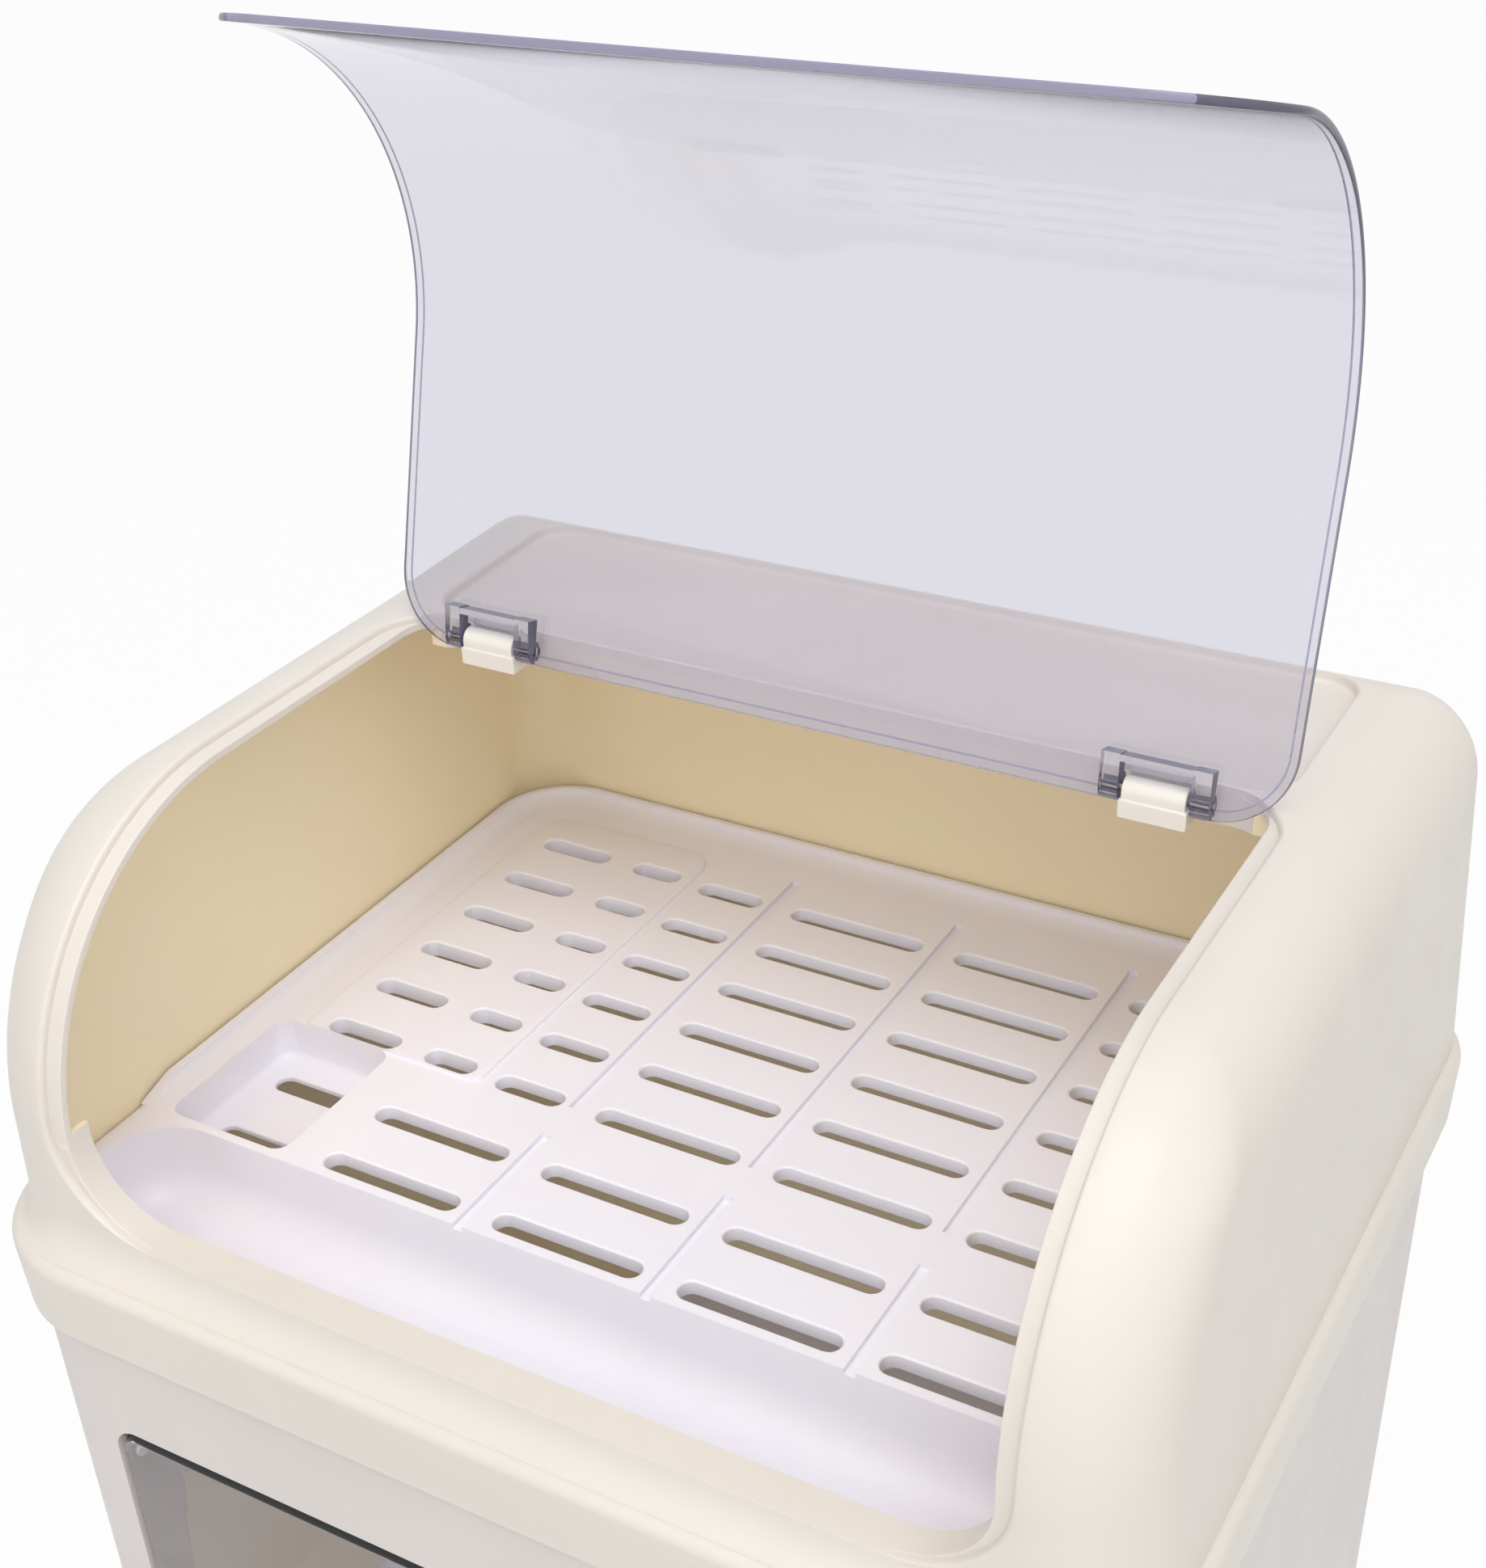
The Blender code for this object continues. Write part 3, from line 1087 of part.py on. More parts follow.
def make_lower_rack(material):
    """Slotted rack that lies on the drip tray's rim, with a locating skirt inside it."""
    top = RACK_BOTTOM_Z + RACK_THICKNESS
    rim = DRIP_RIM

    def ring(change, z):
        corner = DRIP_CORNER + change
        return rounded_ring(DRIP_HALF_WIDTH + change, DRIP_FRONT + change, DRIP_BACK + change, corner, corner, z)

    rack = loft("lower_drain_rack", [ring(rim, RACK_BOTTOM_Z), ring(rim, top)], material)
    skirt_out = -DRIP_WALL - RACK_SKIRT_THICKNESS
    skirt_in = skirt_out - RACK_SKIRT_THICKNESS
    skirt_low = RACK_BOTTOM_Z - RACK_SKIRT_DEPTH
    skirt = loft("rack_skirt", [ring(skirt_out, skirt_low), ring(skirt_out, RACK_BOTTOM_Z + LAY_GAP)])
    inside = loft("rack_skirt_hollow", [ring(skirt_in, skirt_low - OVERRUN), ring(skirt_in, RACK_BOTTOM_Z)])
    boolean(rack, skirt, "UNION")
    boolean(rack, inside)
    middle = (DRIP_BACK - DRIP_FRONT) / 2
    places = []
    for row in range(RACK_ROWS):
        y = middle + (row - (RACK_ROWS - 1) / 2) * RACK_SLOT_PITCH
        for shares in RACK_COLUMN_SHARES:
            places.append((*column_range(shares, DRIP_HALF_WIDTH), y, RACK_SLOT_WIDTH))
    boolean(rack, slots("rack_slots", places, RACK_BOTTOM_Z - OVERRUN, top + OVERRUN))
    return rack


def main():
    """Build every piece."""
    clear_scene()
    cream = plastic("cream_polypropylene", (0.87, 0.83, 0.73), 0.38)
    white = plastic("white_polypropylene", (0.86, 0.83, 0.86), 0.35)
    ivory = plastic("ivory_acetal", (0.88, 0.86, 0.80), 0.32)
    smoke = plastic("smoked_clear", (0.62, 0.62, 0.70), 0.08, alpha=0.35)
    steel = plastic("steel", (0.62, 0.60, 0.57), 0.3, 1.0)
    rubber = plastic("grey_rubber", (0.30, 0.30, 0.30), 0.8)

    make_upper_housing(cream)
    make_lid(smoke)
    for word, side in (("left", -1), ("right", 1)):
        make_knuckle(f"hinge_knuckle_{word}", side, ivory)
        make_hinge_pin(f"hinge_pin_{word}", side, steel)
    make_upper_tray(white)
    make_lower_housing(cream)
    make_door(smoke)
    for word, side in (("left", -1), ("right", 1)):
        make_door_pin(f"door_pin_{word}", side, ivory)
    make_drip_tray(cream)
    make_lower_rack(white)
    names = ("foot_front_left", "foot_front_right", "foot_back_left", "foot_back_right")
    for name, place in zip(names, foot_places()):
        make_foot(name, place, rubber)


main()
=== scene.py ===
"""Covered dish drainer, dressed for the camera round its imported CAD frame.

Metres, +Z up, front towards -Y. The lid is open at rest and the lower door is closed.
Every mould face is worked out with numpy and stands where its CAD solid stands.
"""
import logging
import math
from collections.abc import Iterator
from contextlib import contextmanager
from dataclasses import dataclass
from enum import Enum

import bmesh
import bpy
import numpy as np
from mathutils import Matrix


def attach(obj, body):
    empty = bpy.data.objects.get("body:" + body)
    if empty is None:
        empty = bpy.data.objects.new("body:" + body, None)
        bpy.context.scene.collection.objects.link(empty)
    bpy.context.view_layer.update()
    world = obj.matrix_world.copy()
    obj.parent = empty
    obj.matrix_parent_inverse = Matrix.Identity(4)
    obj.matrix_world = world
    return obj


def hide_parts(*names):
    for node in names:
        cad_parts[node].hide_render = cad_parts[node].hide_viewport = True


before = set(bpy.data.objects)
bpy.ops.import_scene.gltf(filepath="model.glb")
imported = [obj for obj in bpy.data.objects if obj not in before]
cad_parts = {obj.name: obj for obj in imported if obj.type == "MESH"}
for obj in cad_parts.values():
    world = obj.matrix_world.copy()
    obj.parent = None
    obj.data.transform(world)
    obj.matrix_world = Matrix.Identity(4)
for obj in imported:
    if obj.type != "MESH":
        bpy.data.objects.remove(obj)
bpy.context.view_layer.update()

log = logging.getLogger("covered_dish_drainer")

PHOTO_SIZE = (1838, 1940)
CORNER_STEPS = 16
ARC_STEPS = 72
OPENING_ARC_STEPS = 65
EDGE_STEPS = 8
FINE_STEPS = 3
SLOT_STEPS = 10
ROUND_STEPS = 48
SECTION_STEPS = 12
MOUTH_STEPS = 5
MOUTH_TURN = 0.95
QUARTER = math.pi / 2
OVERRUN = 0.004
MERGE_REACH = 2e-6
LEAST_STEP = 0.00015
SHARP = 32.0
CLEAR_SHARP = 35.0
RIM_LIMIT = 0.85
FACE_PASS = 0.96
PLASTIC_IOR = 1.49
NOISE_SPAN = (0.3, 0.7)
MIX_COLOURS = (6, 7)
MIX_RESULT = 2
TINY = 1e-9
SIDES = (-1, 1)
UPRIGHT = Matrix.Rotation(QUARTER, 4, "X")

Array = np.ndarray
Number = float | np.ndarray
Pair = tuple[float, float]
Triple = tuple[float, float, float]
Colour = Triple
Material = bpy.types.Material
Piece = bpy.types.Object
Socket = bpy.types.NodeSocket


class Join(Enum):
    """The two ways in which one solid changes another."""

    CUT = "DIFFERENCE"
    ADD = "UNION"


class Body(Enum):
    """The CAD bodies that pieces ride on."""

    BASE = "base"
    LID = "lid"
    DOOR = "lower_door"


class Slot(Enum):
    """The record's material slots."""

    CREAM = "housing_cream"
    WHITE = "tray_white"
    IVORY = "fitting_ivory"
    CLEAR = "clear_smoke"
    STEEL = "pin_steel"
    RUBBER = "foot_rubber"


# Finishes


class NodeSheet:
    """The node tree of a material or a world, with short ways to add and link nodes."""

    def __init__(self, owner: bpy.types.ID, shader: str = "Principled BSDF") -> None:
        """Start with the owner's own shader alone."""
        owner.use_nodes = True
        self.owner = owner
        self.tree = owner.node_tree
        self.shader = self.tree.nodes[shader]

    def add(self, kind: str, **values: object) -> bpy.types.Node:
        """Add a node and set its properties, or its inputs where the name has no property.

        Args:
            kind: The node's type name, after ShaderNode.
            **values: Properties or input values, with _ for a space in an input's name.

        Returns:
            The new node.
        """
        node = self.tree.nodes.new(f"ShaderNode{kind}")
        for key, value in values.items():
            if hasattr(node, key):
                setattr(node, key, value)
            else:
                node.inputs[key.replace("_", " ")].default_value = value
        return node

    def set(self, **values: object) -> None:
        """Set inputs of the shader, with _ for a space in a name."""
        for key, value in values.items():
            self.shader.inputs[key.replace("_", " ")].default_value = value

    def link(self, start: Socket, end: Socket | str) -> None:
        """Link a socket to another one, or to the shader's input of that name."""
        self.tree.links.new(start, self.shader.inputs[end] if isinstance(end, str) else end)

    def noise(self, scale: float, detail: float, stretch: Triple = (1, 1, 1)) -> Socket:
        """Add a noise on Object coordinates.

        Args:
            scale: Cells in a metre.
            detail: Octaves.
            stretch: Scale along X, Y and Z, for grain that runs one way.

        Returns:
            The noise's value, about 0.5 in the middle.
        """
        where = self.add("TexCoord")
        mapping = self.add("Mapping", Scale=stretch)
        grain = self.add("TexNoise", Scale=scale, Detail=detail)
        self.link(where.outputs["Object"], mapping.inputs["Vector"])
        self.link(mapping.outputs["Vector"], grain.inputs["Vector"])
        return grain.outputs["Fac"]

    def spread(self, value: Socket, low: float, high: float) -> Socket:
        """Map a noise's usual span to a low and a high value."""
        start, end = NOISE_SPAN
        node = self.add("MapRange", From_Min=start, From_Max=end, To_Min=low, To_Max=high)
        self.link(value, node.inputs["Value"])
        return node.outputs["Result"]

    def between(self, factor: Socket, first: Colour, second: Colour) -> Socket:
        """Mix two colours by a factor."""
        node = self.add("Mix", data_type="RGBA")
        for index, colour in zip(MIX_COLOURS, (first, second)):
            node.inputs[index].default_value = (*colour, 1.0)
        self.link(factor, node.inputs[0])
        return node.outputs[MIX_RESULT]

    def relief(self, height: Socket, depth: float, strength: float) -> None:
        """Raise a fine relief on the shader from a height value, depth in metres."""
        bump = self.add("Bump", Strength=strength, Distance=depth)
        self.link(height, bump.inputs["Height"])
        self.link(bump.outputs["Normal"], "Normal")

    def overlay(self, factor: Socket, other: Socket) -> None:
        """Show another shader in place of the sheet's own where a factor is 1."""
        both = self.add("MixShader")
        self.link(factor, both.inputs["Fac"])
        self.link(self.shader.outputs["BSDF"], both.inputs[1])
        self.link(other, both.inputs[2])
        self.link(both.outputs["Shader"], self.tree.nodes["Material Output"].inputs["Surface"])

    def seen(self, low: float, high: float) -> Socket:
        """Add a value for rays that the eye follows and another one for those that only light.

        Args:
            low: The value for the rays that light.
            high: The value for camera, glossy and transmitted rays.

        Returns:
            The value.
        """
        path = self.add("LightPath")
        value = path.outputs["Is Camera Ray"]
        for kind in ("Is Glossy Ray", "Is Transmission Ray"):
            most = self.add("Math", operation="MAXIMUM")
            self.link(value, most.inputs[0])
            self.link(path.outputs[kind], most.inputs[1])
            value = most.outputs["Value"]
        level = self.add("MapRange", To_Min=low, To_Max=high)
        self.link(value, level.inputs["Value"])
        return level.outputs["Result"]


@dataclass(frozen=True)
class MouldedPlastic:
    """Satin injection-moulded plastic: cloudy colour, spark-eroded grain and patchy sheen.

    Each noise has its cells in a metre and its octaves.
    """

    name: str
    colour: Colour
    roughness: float
    glow: float = 0.0
    mottle: float = 0.018
    grain_depth: float = 0.00003
    grain_noise: Pair = (1500.0, 2.0)
    grain_strength: float = 0.35
    cloud_noise: Pair = (9.0, 3.0)
    patch_noise: Pair = (42.0, 4.0)
    sheen_span: Pair = (-0.04, 0.05)
    glow_reach: float = 0.003
    glow_radius: Triple = (1.0, 0.93, 0.86)

    def make(self) -> Material:
        """Build the material.

        Returns:
            A material whose colour, roughness and relief vary over the piece.
        """
        sheet = NodeSheet(bpy.data.materials.new(self.name))
        dark = tuple(c * (1 - self.mottle) for c in self.colour)
        light = tuple(min(1.0, c * (1 + self.mottle)) for c in self.colour)
        cloud = sheet.spread(sheet.noise(*self.cloud_noise), 0.0, 1.0)
        sheet.link(sheet.between(cloud, dark, light), "Base Color")
        span = [self.roughness + change for change in self.sheen_span]
        sheet.link(sheet.spread(sheet.noise(*self.patch_noise), *span), "Roughness")
        sheet.relief(sheet.noise(*self.grain_noise), self.grain_depth, self.grain_strength)
        sheet.set(IOR=PLASTIC_IOR)
        if self.glow:
            sheet.set(Subsurface_Weight=self.glow)
            sheet.set(Subsurface_Radius=self.glow_radius, Subsurface_Scale=self.glow_reach)
        return sheet.owner


@dataclass(frozen=True)
class ClearPlastic:
    """Polished clear styrene with a faint grey tint, hair scratches and slight waviness.

    Lamps shine through it: each face passes the root of the tint, less what it reflects.
    """

    name: str
    colour: Colour
    roughness: float
    clearness: float = 1.0
    scratch_noise: Pair = (300.0, 5.0)
    scratch_stretch: Triple = (0.05, 1.0, 1.0)
    scratch_haze: float = 0.03
    wave_noise: Pair = (16.0, 1.0)
    wave_depth: float = 0.0006
    wave_strength: float = 0.015

    def make(self) -> Material:
        """Build the material.

        Returns:
            A transmitting material with faint scratches in its polish.
        """
        sheet = NodeSheet(bpy.data.materials.new(self.name))
        sheet.set(Base_Color=(*self.colour, 1.0), Transmission_Weight=self.clearness, IOR=PLASTIC_IOR)
        scratch = sheet.noise(*self.scratch_noise, self.scratch_stretch)
        sheet.link(sheet.spread(scratch, self.roughness, self.roughness + self.scratch_haze), "Roughness")
        sheet.relief(sheet.noise(*self.wave_noise), self.wave_depth, self.wave_strength)
        passed = (*(math.sqrt(c) * FACE_PASS for c in self.colour), 1.0)
        clear = sheet.add("BsdfTransparent", Color=passed)
        sheet.overlay(sheet.add("LightPath").outputs["Is Shadow Ray"], clear.outputs["BSDF"])
        return sheet.owner


@dataclass(frozen=True)
class DrawnWire:
    """Steel wire with drawing marks along X."""

    name: str
    colour: Colour
    roughness: float
    mark_noise: Pair = (2600.0, 3.0)
    mark_stretch: Triple = (0.04, 1.0, 1.0)
    mark_shade: float = 0.82
    mark_haze: float = 0.15
    mark_depth: float = 0.00004
    mark_strength: float = 0.3

    def make(self) -> Material:
        """Build the material.

        Returns:
            A metal with fine marks along its length.
        """
        sheet = NodeSheet(bpy.data.materials.new(self.name))
        sheet.set(Metallic=1.0)
        marks = sheet.noise(*self.mark_noise, self.mark_stretch)
        dark = tuple(c * self.mark_shade for c in self.colour)
        sheet.link(sheet.between(sheet.spread(marks, 0.0, 1.0), dark, self.colour), "Base Color")
        sheet.link(sheet.spread(marks, self.roughness, self.roughness + self.mark_haze), "Roughness")
        sheet.relief(marks, self.mark_depth, self.mark_strength)
        return sheet.owner


class Finishes:
    """The finishes of this object, one material each."""

    def __init__(self) -> None:
        """Make every material once."""
        inside, below = "cream_polypropylene_inside_painted_warm_light", "cream_polypropylene_lower"
        self.cream = MouldedPlastic("cream_polypropylene", (0.775, 0.725, 0.66), 0.36, 0.25).make()
        # Painted light: the inside of the cream housings is the same plastic as the outside, painted warmer
        # and brighter for light bounced inside them and glowing through their walls.
        self.warm_painted_light = MouldedPlastic(inside, (0.99, 0.85, 0.61), 0.44, 0.25).make()
        self.lower = MouldedPlastic(below, (0.735, 0.685, 0.66), 0.38, 0.25).make()
        self.white = MouldedPlastic("white_polypropylene", (0.895, 0.875, 0.94), 0.33, 0.10).make()
        self.ivory = MouldedPlastic("ivory_acetal", (0.88, 0.84, 0.77), 0.30).make()
        self.clear = ClearPlastic("smoked_clear_styrene", (0.74, 0.732, 0.805), 0.03).make()
        # Painted shade: the lid's edge faces and the fine groove inside its edge are painted in darker
        # tints than the sheet, the free end a little lighter, for the dark lines that refraction draws
        # there.
        self.rim = ClearPlastic("smoked_clear_edge_painted_shade", (0.19, 0.19, 0.27), 0.22, 0.5).make()
        self.painted_pale_edge_shade = ClearPlastic("smoked_clear_free_edge_painted_shade", (0.40, 0.38, 0.53), 0.25, 0.3).make()
        self.steel = DrawnWire("drawn_steel", (0.50, 0.46, 0.42), 0.28).make()
        grey = (0.30, 0.30, 0.30)
        self.rubber = MouldedPlastic("grey_rubber", grey, 0.75, mottle=0.06, grain_depth=0.0001).make()


# Profiles and rings


def rounding(radius: float, steps: int = EDGE_STEPS) -> tuple[Array, Array]:
    """Draw-in r(1 - cos a) and missing rise r(1 - sin a) on a quarter circle that starts upright."""
    turn = np.linspace(0.0, QUARTER, steps + 1)
    return radius * (1 - np.cos(turn)), radius * (1 - np.sin(turn))


def topped(low: float, top: float, radius: float, steps: int = EDGE_STEPS) -> tuple[Array, Array]:
    """Insets and heights of an upright side with a rounded upper edge."""
    drawn, missing = rounding(radius, steps)
    return np.append(0.0, drawn), np.append(low, top - missing)


def footed(floor: float, radius: float, top: float) -> tuple[Array, Array]:
    """Insets and heights of a side that turns up from a floor on a quarter circle."""
    drawn, missing = rounding(radius)
    return np.append(missing, 0.0), np.append(floor + drawn, top)


def mouth(radius: float, top: float, bottom: float, above: float) -> tuple[Array, Array]:
    """Growths and heights of a cutter that leaves a rounded edge round its hole.

    The cutter grows by r(1 - cos a) while its height nears the surface by r sin a, and stops
    short of the tangent so that no point lies on the surface itself.

    Args:
        radius: Radius of the edge.
        top: Height of the surface.
        bottom: Lowest height of the cutter.
        above: Highest height of the cutter.

    Returns:
        Growths and heights, from the bottom up.
    """
    turn = np.linspace(0.0, QUARTER * MOUTH_TURN, MOUTH_STEPS + 1)
    grow = np.concatenate([[0.0], radius * (1 - np.cos(turn)), [radius]])
    return grow, np.concatenate([[bottom], top - radius + radius * np.sin(turn), [above]])


def rounded_rings(
    half_width: Number, front: Number, back: Number, corners: Number | tuple, z: Number,
    inset: Number = 0.0, centre_x: float = 0.0,
) -> Array:
    """Rounded rectangles at many heights: four quarter circles, joined by straight runs.

    Each quarter circle is its centre plus radius times (cos, sin) of an angle that runs
    through its quadrant, so that the two parameters are the height and the angle.

    Args:
        half_width: Half of the width along X.
        front: Distance of the front side from the middle, towards -Y.
        back: Distance of the back side from the middle, towards +Y.
        corners: Radius of all corners, or of the front ones and the back ones.
        z: Heights.
        inset: How far the sides and the corners are drawn in.
        centre_x: X of the middle.

    Returns:
        Points, heights by angles by 3.
    """
    radii = corners if isinstance(corners, tuple) else (corners, corners)
    parts = [part - inset for part in (half_width, front, back, *radii)]
    columns = np.broadcast_arrays(*map(np.atleast_1d, (*parts, z)))
    half, near, far, near_r, far_r, level = (column[:, None] for column in columns)
    turn = np.linspace(0.0, QUARTER, CORNER_STEPS + 1)
    angle = (np.arange(4)[:, None] * QUARTER + turn).reshape(1, -1)
    quadrant = np.repeat(np.arange(4), CORNER_STEPS + 1)[None, :]
    radius = np.where(quadrant < 2, far_r, near_r)
    side = np.where((quadrant == 0) | (quadrant == 3), 1.0, -1.0)
    middle_y = np.where(quadrant < 2, far - far_r, near_r - near)
    x = centre_x + side * (half - radius) + radius * np.cos(angle)
    y = middle_y + radius * np.sin(angle)
    return np.stack([x, y, np.broadcast_to(level, x.shape)], axis=-1)


def rectangles(places: list) -> Array:
    """Outlines of many (low_x, high_x, low_y, high_y) rectangles."""
    x0, x1, y0, y1 = np.array(places).T
    return np.stack([np.stack(p, axis=-1) for p in ((x0, y0), (x1, y0), (x1, y1), (x0, y1))], axis=1)


def circle(radius: float, centre: Pair = (0.0, 0.0)) -> Array:
    """Points of a circle as (a, b) pairs, with half a step of phase."""
    angle = 2 * np.pi * (np.arange(ROUND_STEPS) + 0.5) / ROUND_STEPS
    return np.column_stack([centre[0] + radius * np.cos(angle), centre[1] + radius * np.sin(angle)])


# Solids


def linked(item: Piece) -> Piece:
    """Show an object in the scene."""
    bpy.context.scene.collection.objects.link(item)
    return item


def solid(name: str, points: Array, faces: list, material: Material) -> Piece:
    """Put points and faces into a new object at the origin."""
    mesh = bpy.data.meshes.new(name)
    mesh.from_pydata(points.reshape(-1, 3).tolist(), [], faces)
    mesh.materials.append(material)
    return linked(bpy.data.objects.new(name, mesh))


def stacks(name: str, points: Array, material: Material) -> Piece:
    """Skin separate stacks of equal rings, each closed at both ends.

    Vertex i of ring k is joined to vertex i of ring k + 1; the faces look outwards when the
    rings turn anticlockwise seen from the last ring.

    Args:
        name: Name of the object.
        points: Points, stacks by rings by points by 3.
        material: Its material.

    Returns:
        The object.
    """
    count, rings, size = points.shape[:3]
    row = np.arange(size)
    beyond = (row + 1) % size
    first = np.arange(count)[:, None] * rings * size
    low = (first + np.arange(rings - 1) * size)[..., None]
    walls = np.stack([low + row, low + beyond, low + size + beyond, low + size + row], axis=-1)
    faces = walls.reshape(-1, 4).tolist() + (first + row[::-1]).tolist()
    faces += (first + (rings - 1) * size + row).tolist()
    return solid(name, points, faces, material)


def loft(name: str, rings: Array, material: Material) -> Piece:
    """Skin one stack of rings, rings by points by 3."""
    return stacks(name, rings[None], material)


def front_loft(
    name: str, half: float, heights: Pair, corners: Number | tuple, depths: Number, material: Material,
    inset: Number = 0.0,
) -> Piece:
    """Skin rounded rectangles that stand upright and face the front.

    Args:
        name: Name of the object.
        half: Half of their width.
        heights: Their lower and upper height.
        corners: Radius of all corners, or of the lower ones and the upper ones.
        depths: Distance of each towards -Y.
        material: Its material.
        inset: How far the sides and the corners are drawn in.

    Returns:
        The object.
    """
    rings = rounded_rings(half, -heights[0], heights[1], corners, depths, inset)
    return transform(loft(name, rings, material), UPRIGHT)


def prisms(name: str, outlines: Array, low: float, high: float, material: Material) -> Piece:
    """Raise many separate outlines into upright prisms in one object.

    Args:
        name: Name of the object.
        outlines: Anticlockwise (x, y) points, prisms by points by 2.
        low: Lower height.
        high: Upper height.
        material: Its material.

    Returns:
        The object, with two caps on each prism.
    """
    flat = np.repeat(outlines[:, None], 2, axis=1)
    levels = np.broadcast_to(np.array([low, high])[:, None, None], (*flat.shape[:3], 1))
    return stacks(name, np.concatenate([flat, levels], axis=-1), material)


def box(name: str, low: tuple, high: tuple, material: Material) -> Piece:
    """A block between two corners, as one prism."""
    return prisms(name, rectangles([(low[0], high[0], low[1], high[1])]), low[2], high[2], material)


def side_prism(name: str, outline: Array, low_x: float, high_x: float, material: Material) -> Piece:
    """Push a (y, z) outline, anticlockwise with +Y to the right, along X."""
    rings = [np.column_stack([np.full(len(outline), x), outline]) for x in (low_x, high_x)]
    return loft(name, np.stack(rings), material)


def slot_cutter(name: str, places: list, levels: tuple, material: Material) -> Piece:
    """One cutter of many round-ended slots along X, with rounded mouths.

    Each slot is two half circles joined by straight sides, and its radius at a height is the
    slot's own plus the growth there.

    Args:
        name: Name of the object.
        places: Rows of (low_x, high_x, y, width).
        levels: Growths and heights.
        material: Its material.

    Returns:
        The cutter.
    """
    grow, z = levels
    low_x, high_x, y, width = (column[:, None, None] for column in np.array(places).T)
    turn = np.linspace(-QUARTER, QUARTER, SLOT_STEPS + 1)[None, None, :]
    radius = width / 2 + grow[None, :, None]
    right = np.stack([high_x - width / 2 + radius * np.cos(turn), y + radius * np.sin(turn)], axis=-1)
    left = np.stack([low_x + width / 2 - radius * np.cos(turn), y - radius * np.sin(turn)], axis=-1)
    flat = np.concatenate([right, left], axis=2)
    level = np.broadcast_to(z[None, :, None, None], (*flat.shape[:3], 1))
    return stacks(name, np.concatenate([flat, level], axis=-1), material)


def shape(item: Piece, add: tuple | list = (), cut: tuple | list = ()) -> Piece:
    """Change a solid by other solids in turn, and remove those others.

    Args:
        item: The solid that is kept.
        add: The solids that are joined to it first.
        cut: The solids that are then cut away, whose material the new faces take.

    Returns:
        The same object with its new mesh.
    """
    steps = [(Join.ADD, helper) for helper in add] + [(Join.CUT, helper) for helper in cut]
    for way, helper in steps:
        change = item.modifiers.new(helper.name, "BOOLEAN")
        change.operation = way.value
        change.solver = "EXACT"
        change.material_mode = "TRANSFER"
        change.object = helper
    graph = bpy.context.evaluated_depsgraph_get()
    made = bpy.data.meshes.new_from_object(item.evaluated_get(graph))
    item.modifiers.clear()
    item.data = made
    for _, helper in steps:
        bpy.data.objects.remove(helper, do_unlink=True)
    return item


@contextmanager
def opened(mesh: bpy.types.Mesh) -> Iterator[bmesh.types.BMesh]:
    """Open a mesh for editing, and write it back."""
    work = bmesh.new()
    work.from_mesh(mesh)
    yield work
    work.to_mesh(mesh)
    work.free()


def divide(item: Piece, places_x: list | tuple, places_y: list) -> None:
    """Split an object's wide faces by upright planes, so that later cuts leave small faces.

    Args:
        item: The object.
        places_x: X of the planes that face along X.
        places_y: Y of the planes that face along Y.
    """
    planes = [((x, 0.0, 0.0), (1.0, 0.0, 0.0)) for x in places_x]
    planes += [((0.0, y, 0.0), (0.0, 1.0, 0.0)) for y in places_y]
    with opened(item.data) as work:
        for centre, normal in planes:
            every = work.verts[:] + work.edges[:] + work.faces[:]
            bmesh.ops.bisect_plane(work, geom=every, plane_co=centre, plane_no=normal)


def transform(item: Piece, matrix: Matrix) -> Piece:
    """Move an object's mesh, and leave the object at the origin."""
    item.data.transform(matrix)
    return item


def per_face(mesh: bpy.types.Mesh, name: str) -> Array:
    """A vector that every face has, faces by 3."""
    values = np.empty(len(mesh.polygons) * 3)
    mesh.polygons.foreach_get(name, values)
    return values.reshape(-1, 3)


def place(
    item: Piece, node: str, body: Body = Body.BASE,
    sharp: float = SHARP, round_edge: float = 0.0,
) -> None:
    """Finish a piece: smooth it, round its edges, tie it to its body, and hide the CAD node that it stands
    for.

    Args:
        item: The piece.
        node: The CAD node that it stands for.
        body: The body that it rides on.
        sharp: Edges that turn more than this angle stay crisp or are rounded.
        round_edge: Radius on those edges, or zero.
    """
    limit = math.radians(sharp)
    with opened(item.data) as work:
        bmesh.ops.remove_doubles(work, verts=work.verts, dist=MERGE_REACH)
        for edge in work.edges:
            edge.smooth = len(edge.link_faces) == 2 and edge.calc_face_angle(0.0) < limit
        for face in work.faces:
            face.smooth = True
    if round_edge:
        bevel = item.modifiers.new("soft_edges", "BEVEL")
        bevel.width = round_edge
        bevel.segments = FINE_STEPS
        bevel.limit_method = "ANGLE"
        bevel.angle_limit = limit
        bevel.use_clamp_overlap = False
        bevel.miter_outer = "MITER_ARC"
    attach(item, body.value)
    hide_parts(node)
    log.info("%s stands for %s on %s", item.name, node, body.value)


# Upper housing


@dataclass(frozen=True)
class Strip:
    """Outline of a plate that follows the hood's side profile, with four rounded corners.

    Lengths run along the profile from the deck's edge, and corners are the radii at the
    hinge end and the free end.
    """

    start: float
    end: float
    half_width: float
    corners: Pair

    def inside(self, inset: float) -> "Strip":
        """The outline drawn in all round."""
        corners = (self.corners[0] - inset, self.corners[1] - inset)
        return Strip(self.start + inset, self.end - inset, self.half_width - inset, corners)

    def sides(self, along: Array) -> Array:
        """Half width at lengths along it, less what a quarter circle takes off near either end."""
        side = np.full_like(along, self.half_width)
        for gone, radius in zip((along - self.start, self.end - along), self.corners):
            within = np.clip(radius - gone, 0.0, radius)
            side -= radius - np.sqrt(radius**2 - within**2)
        return side


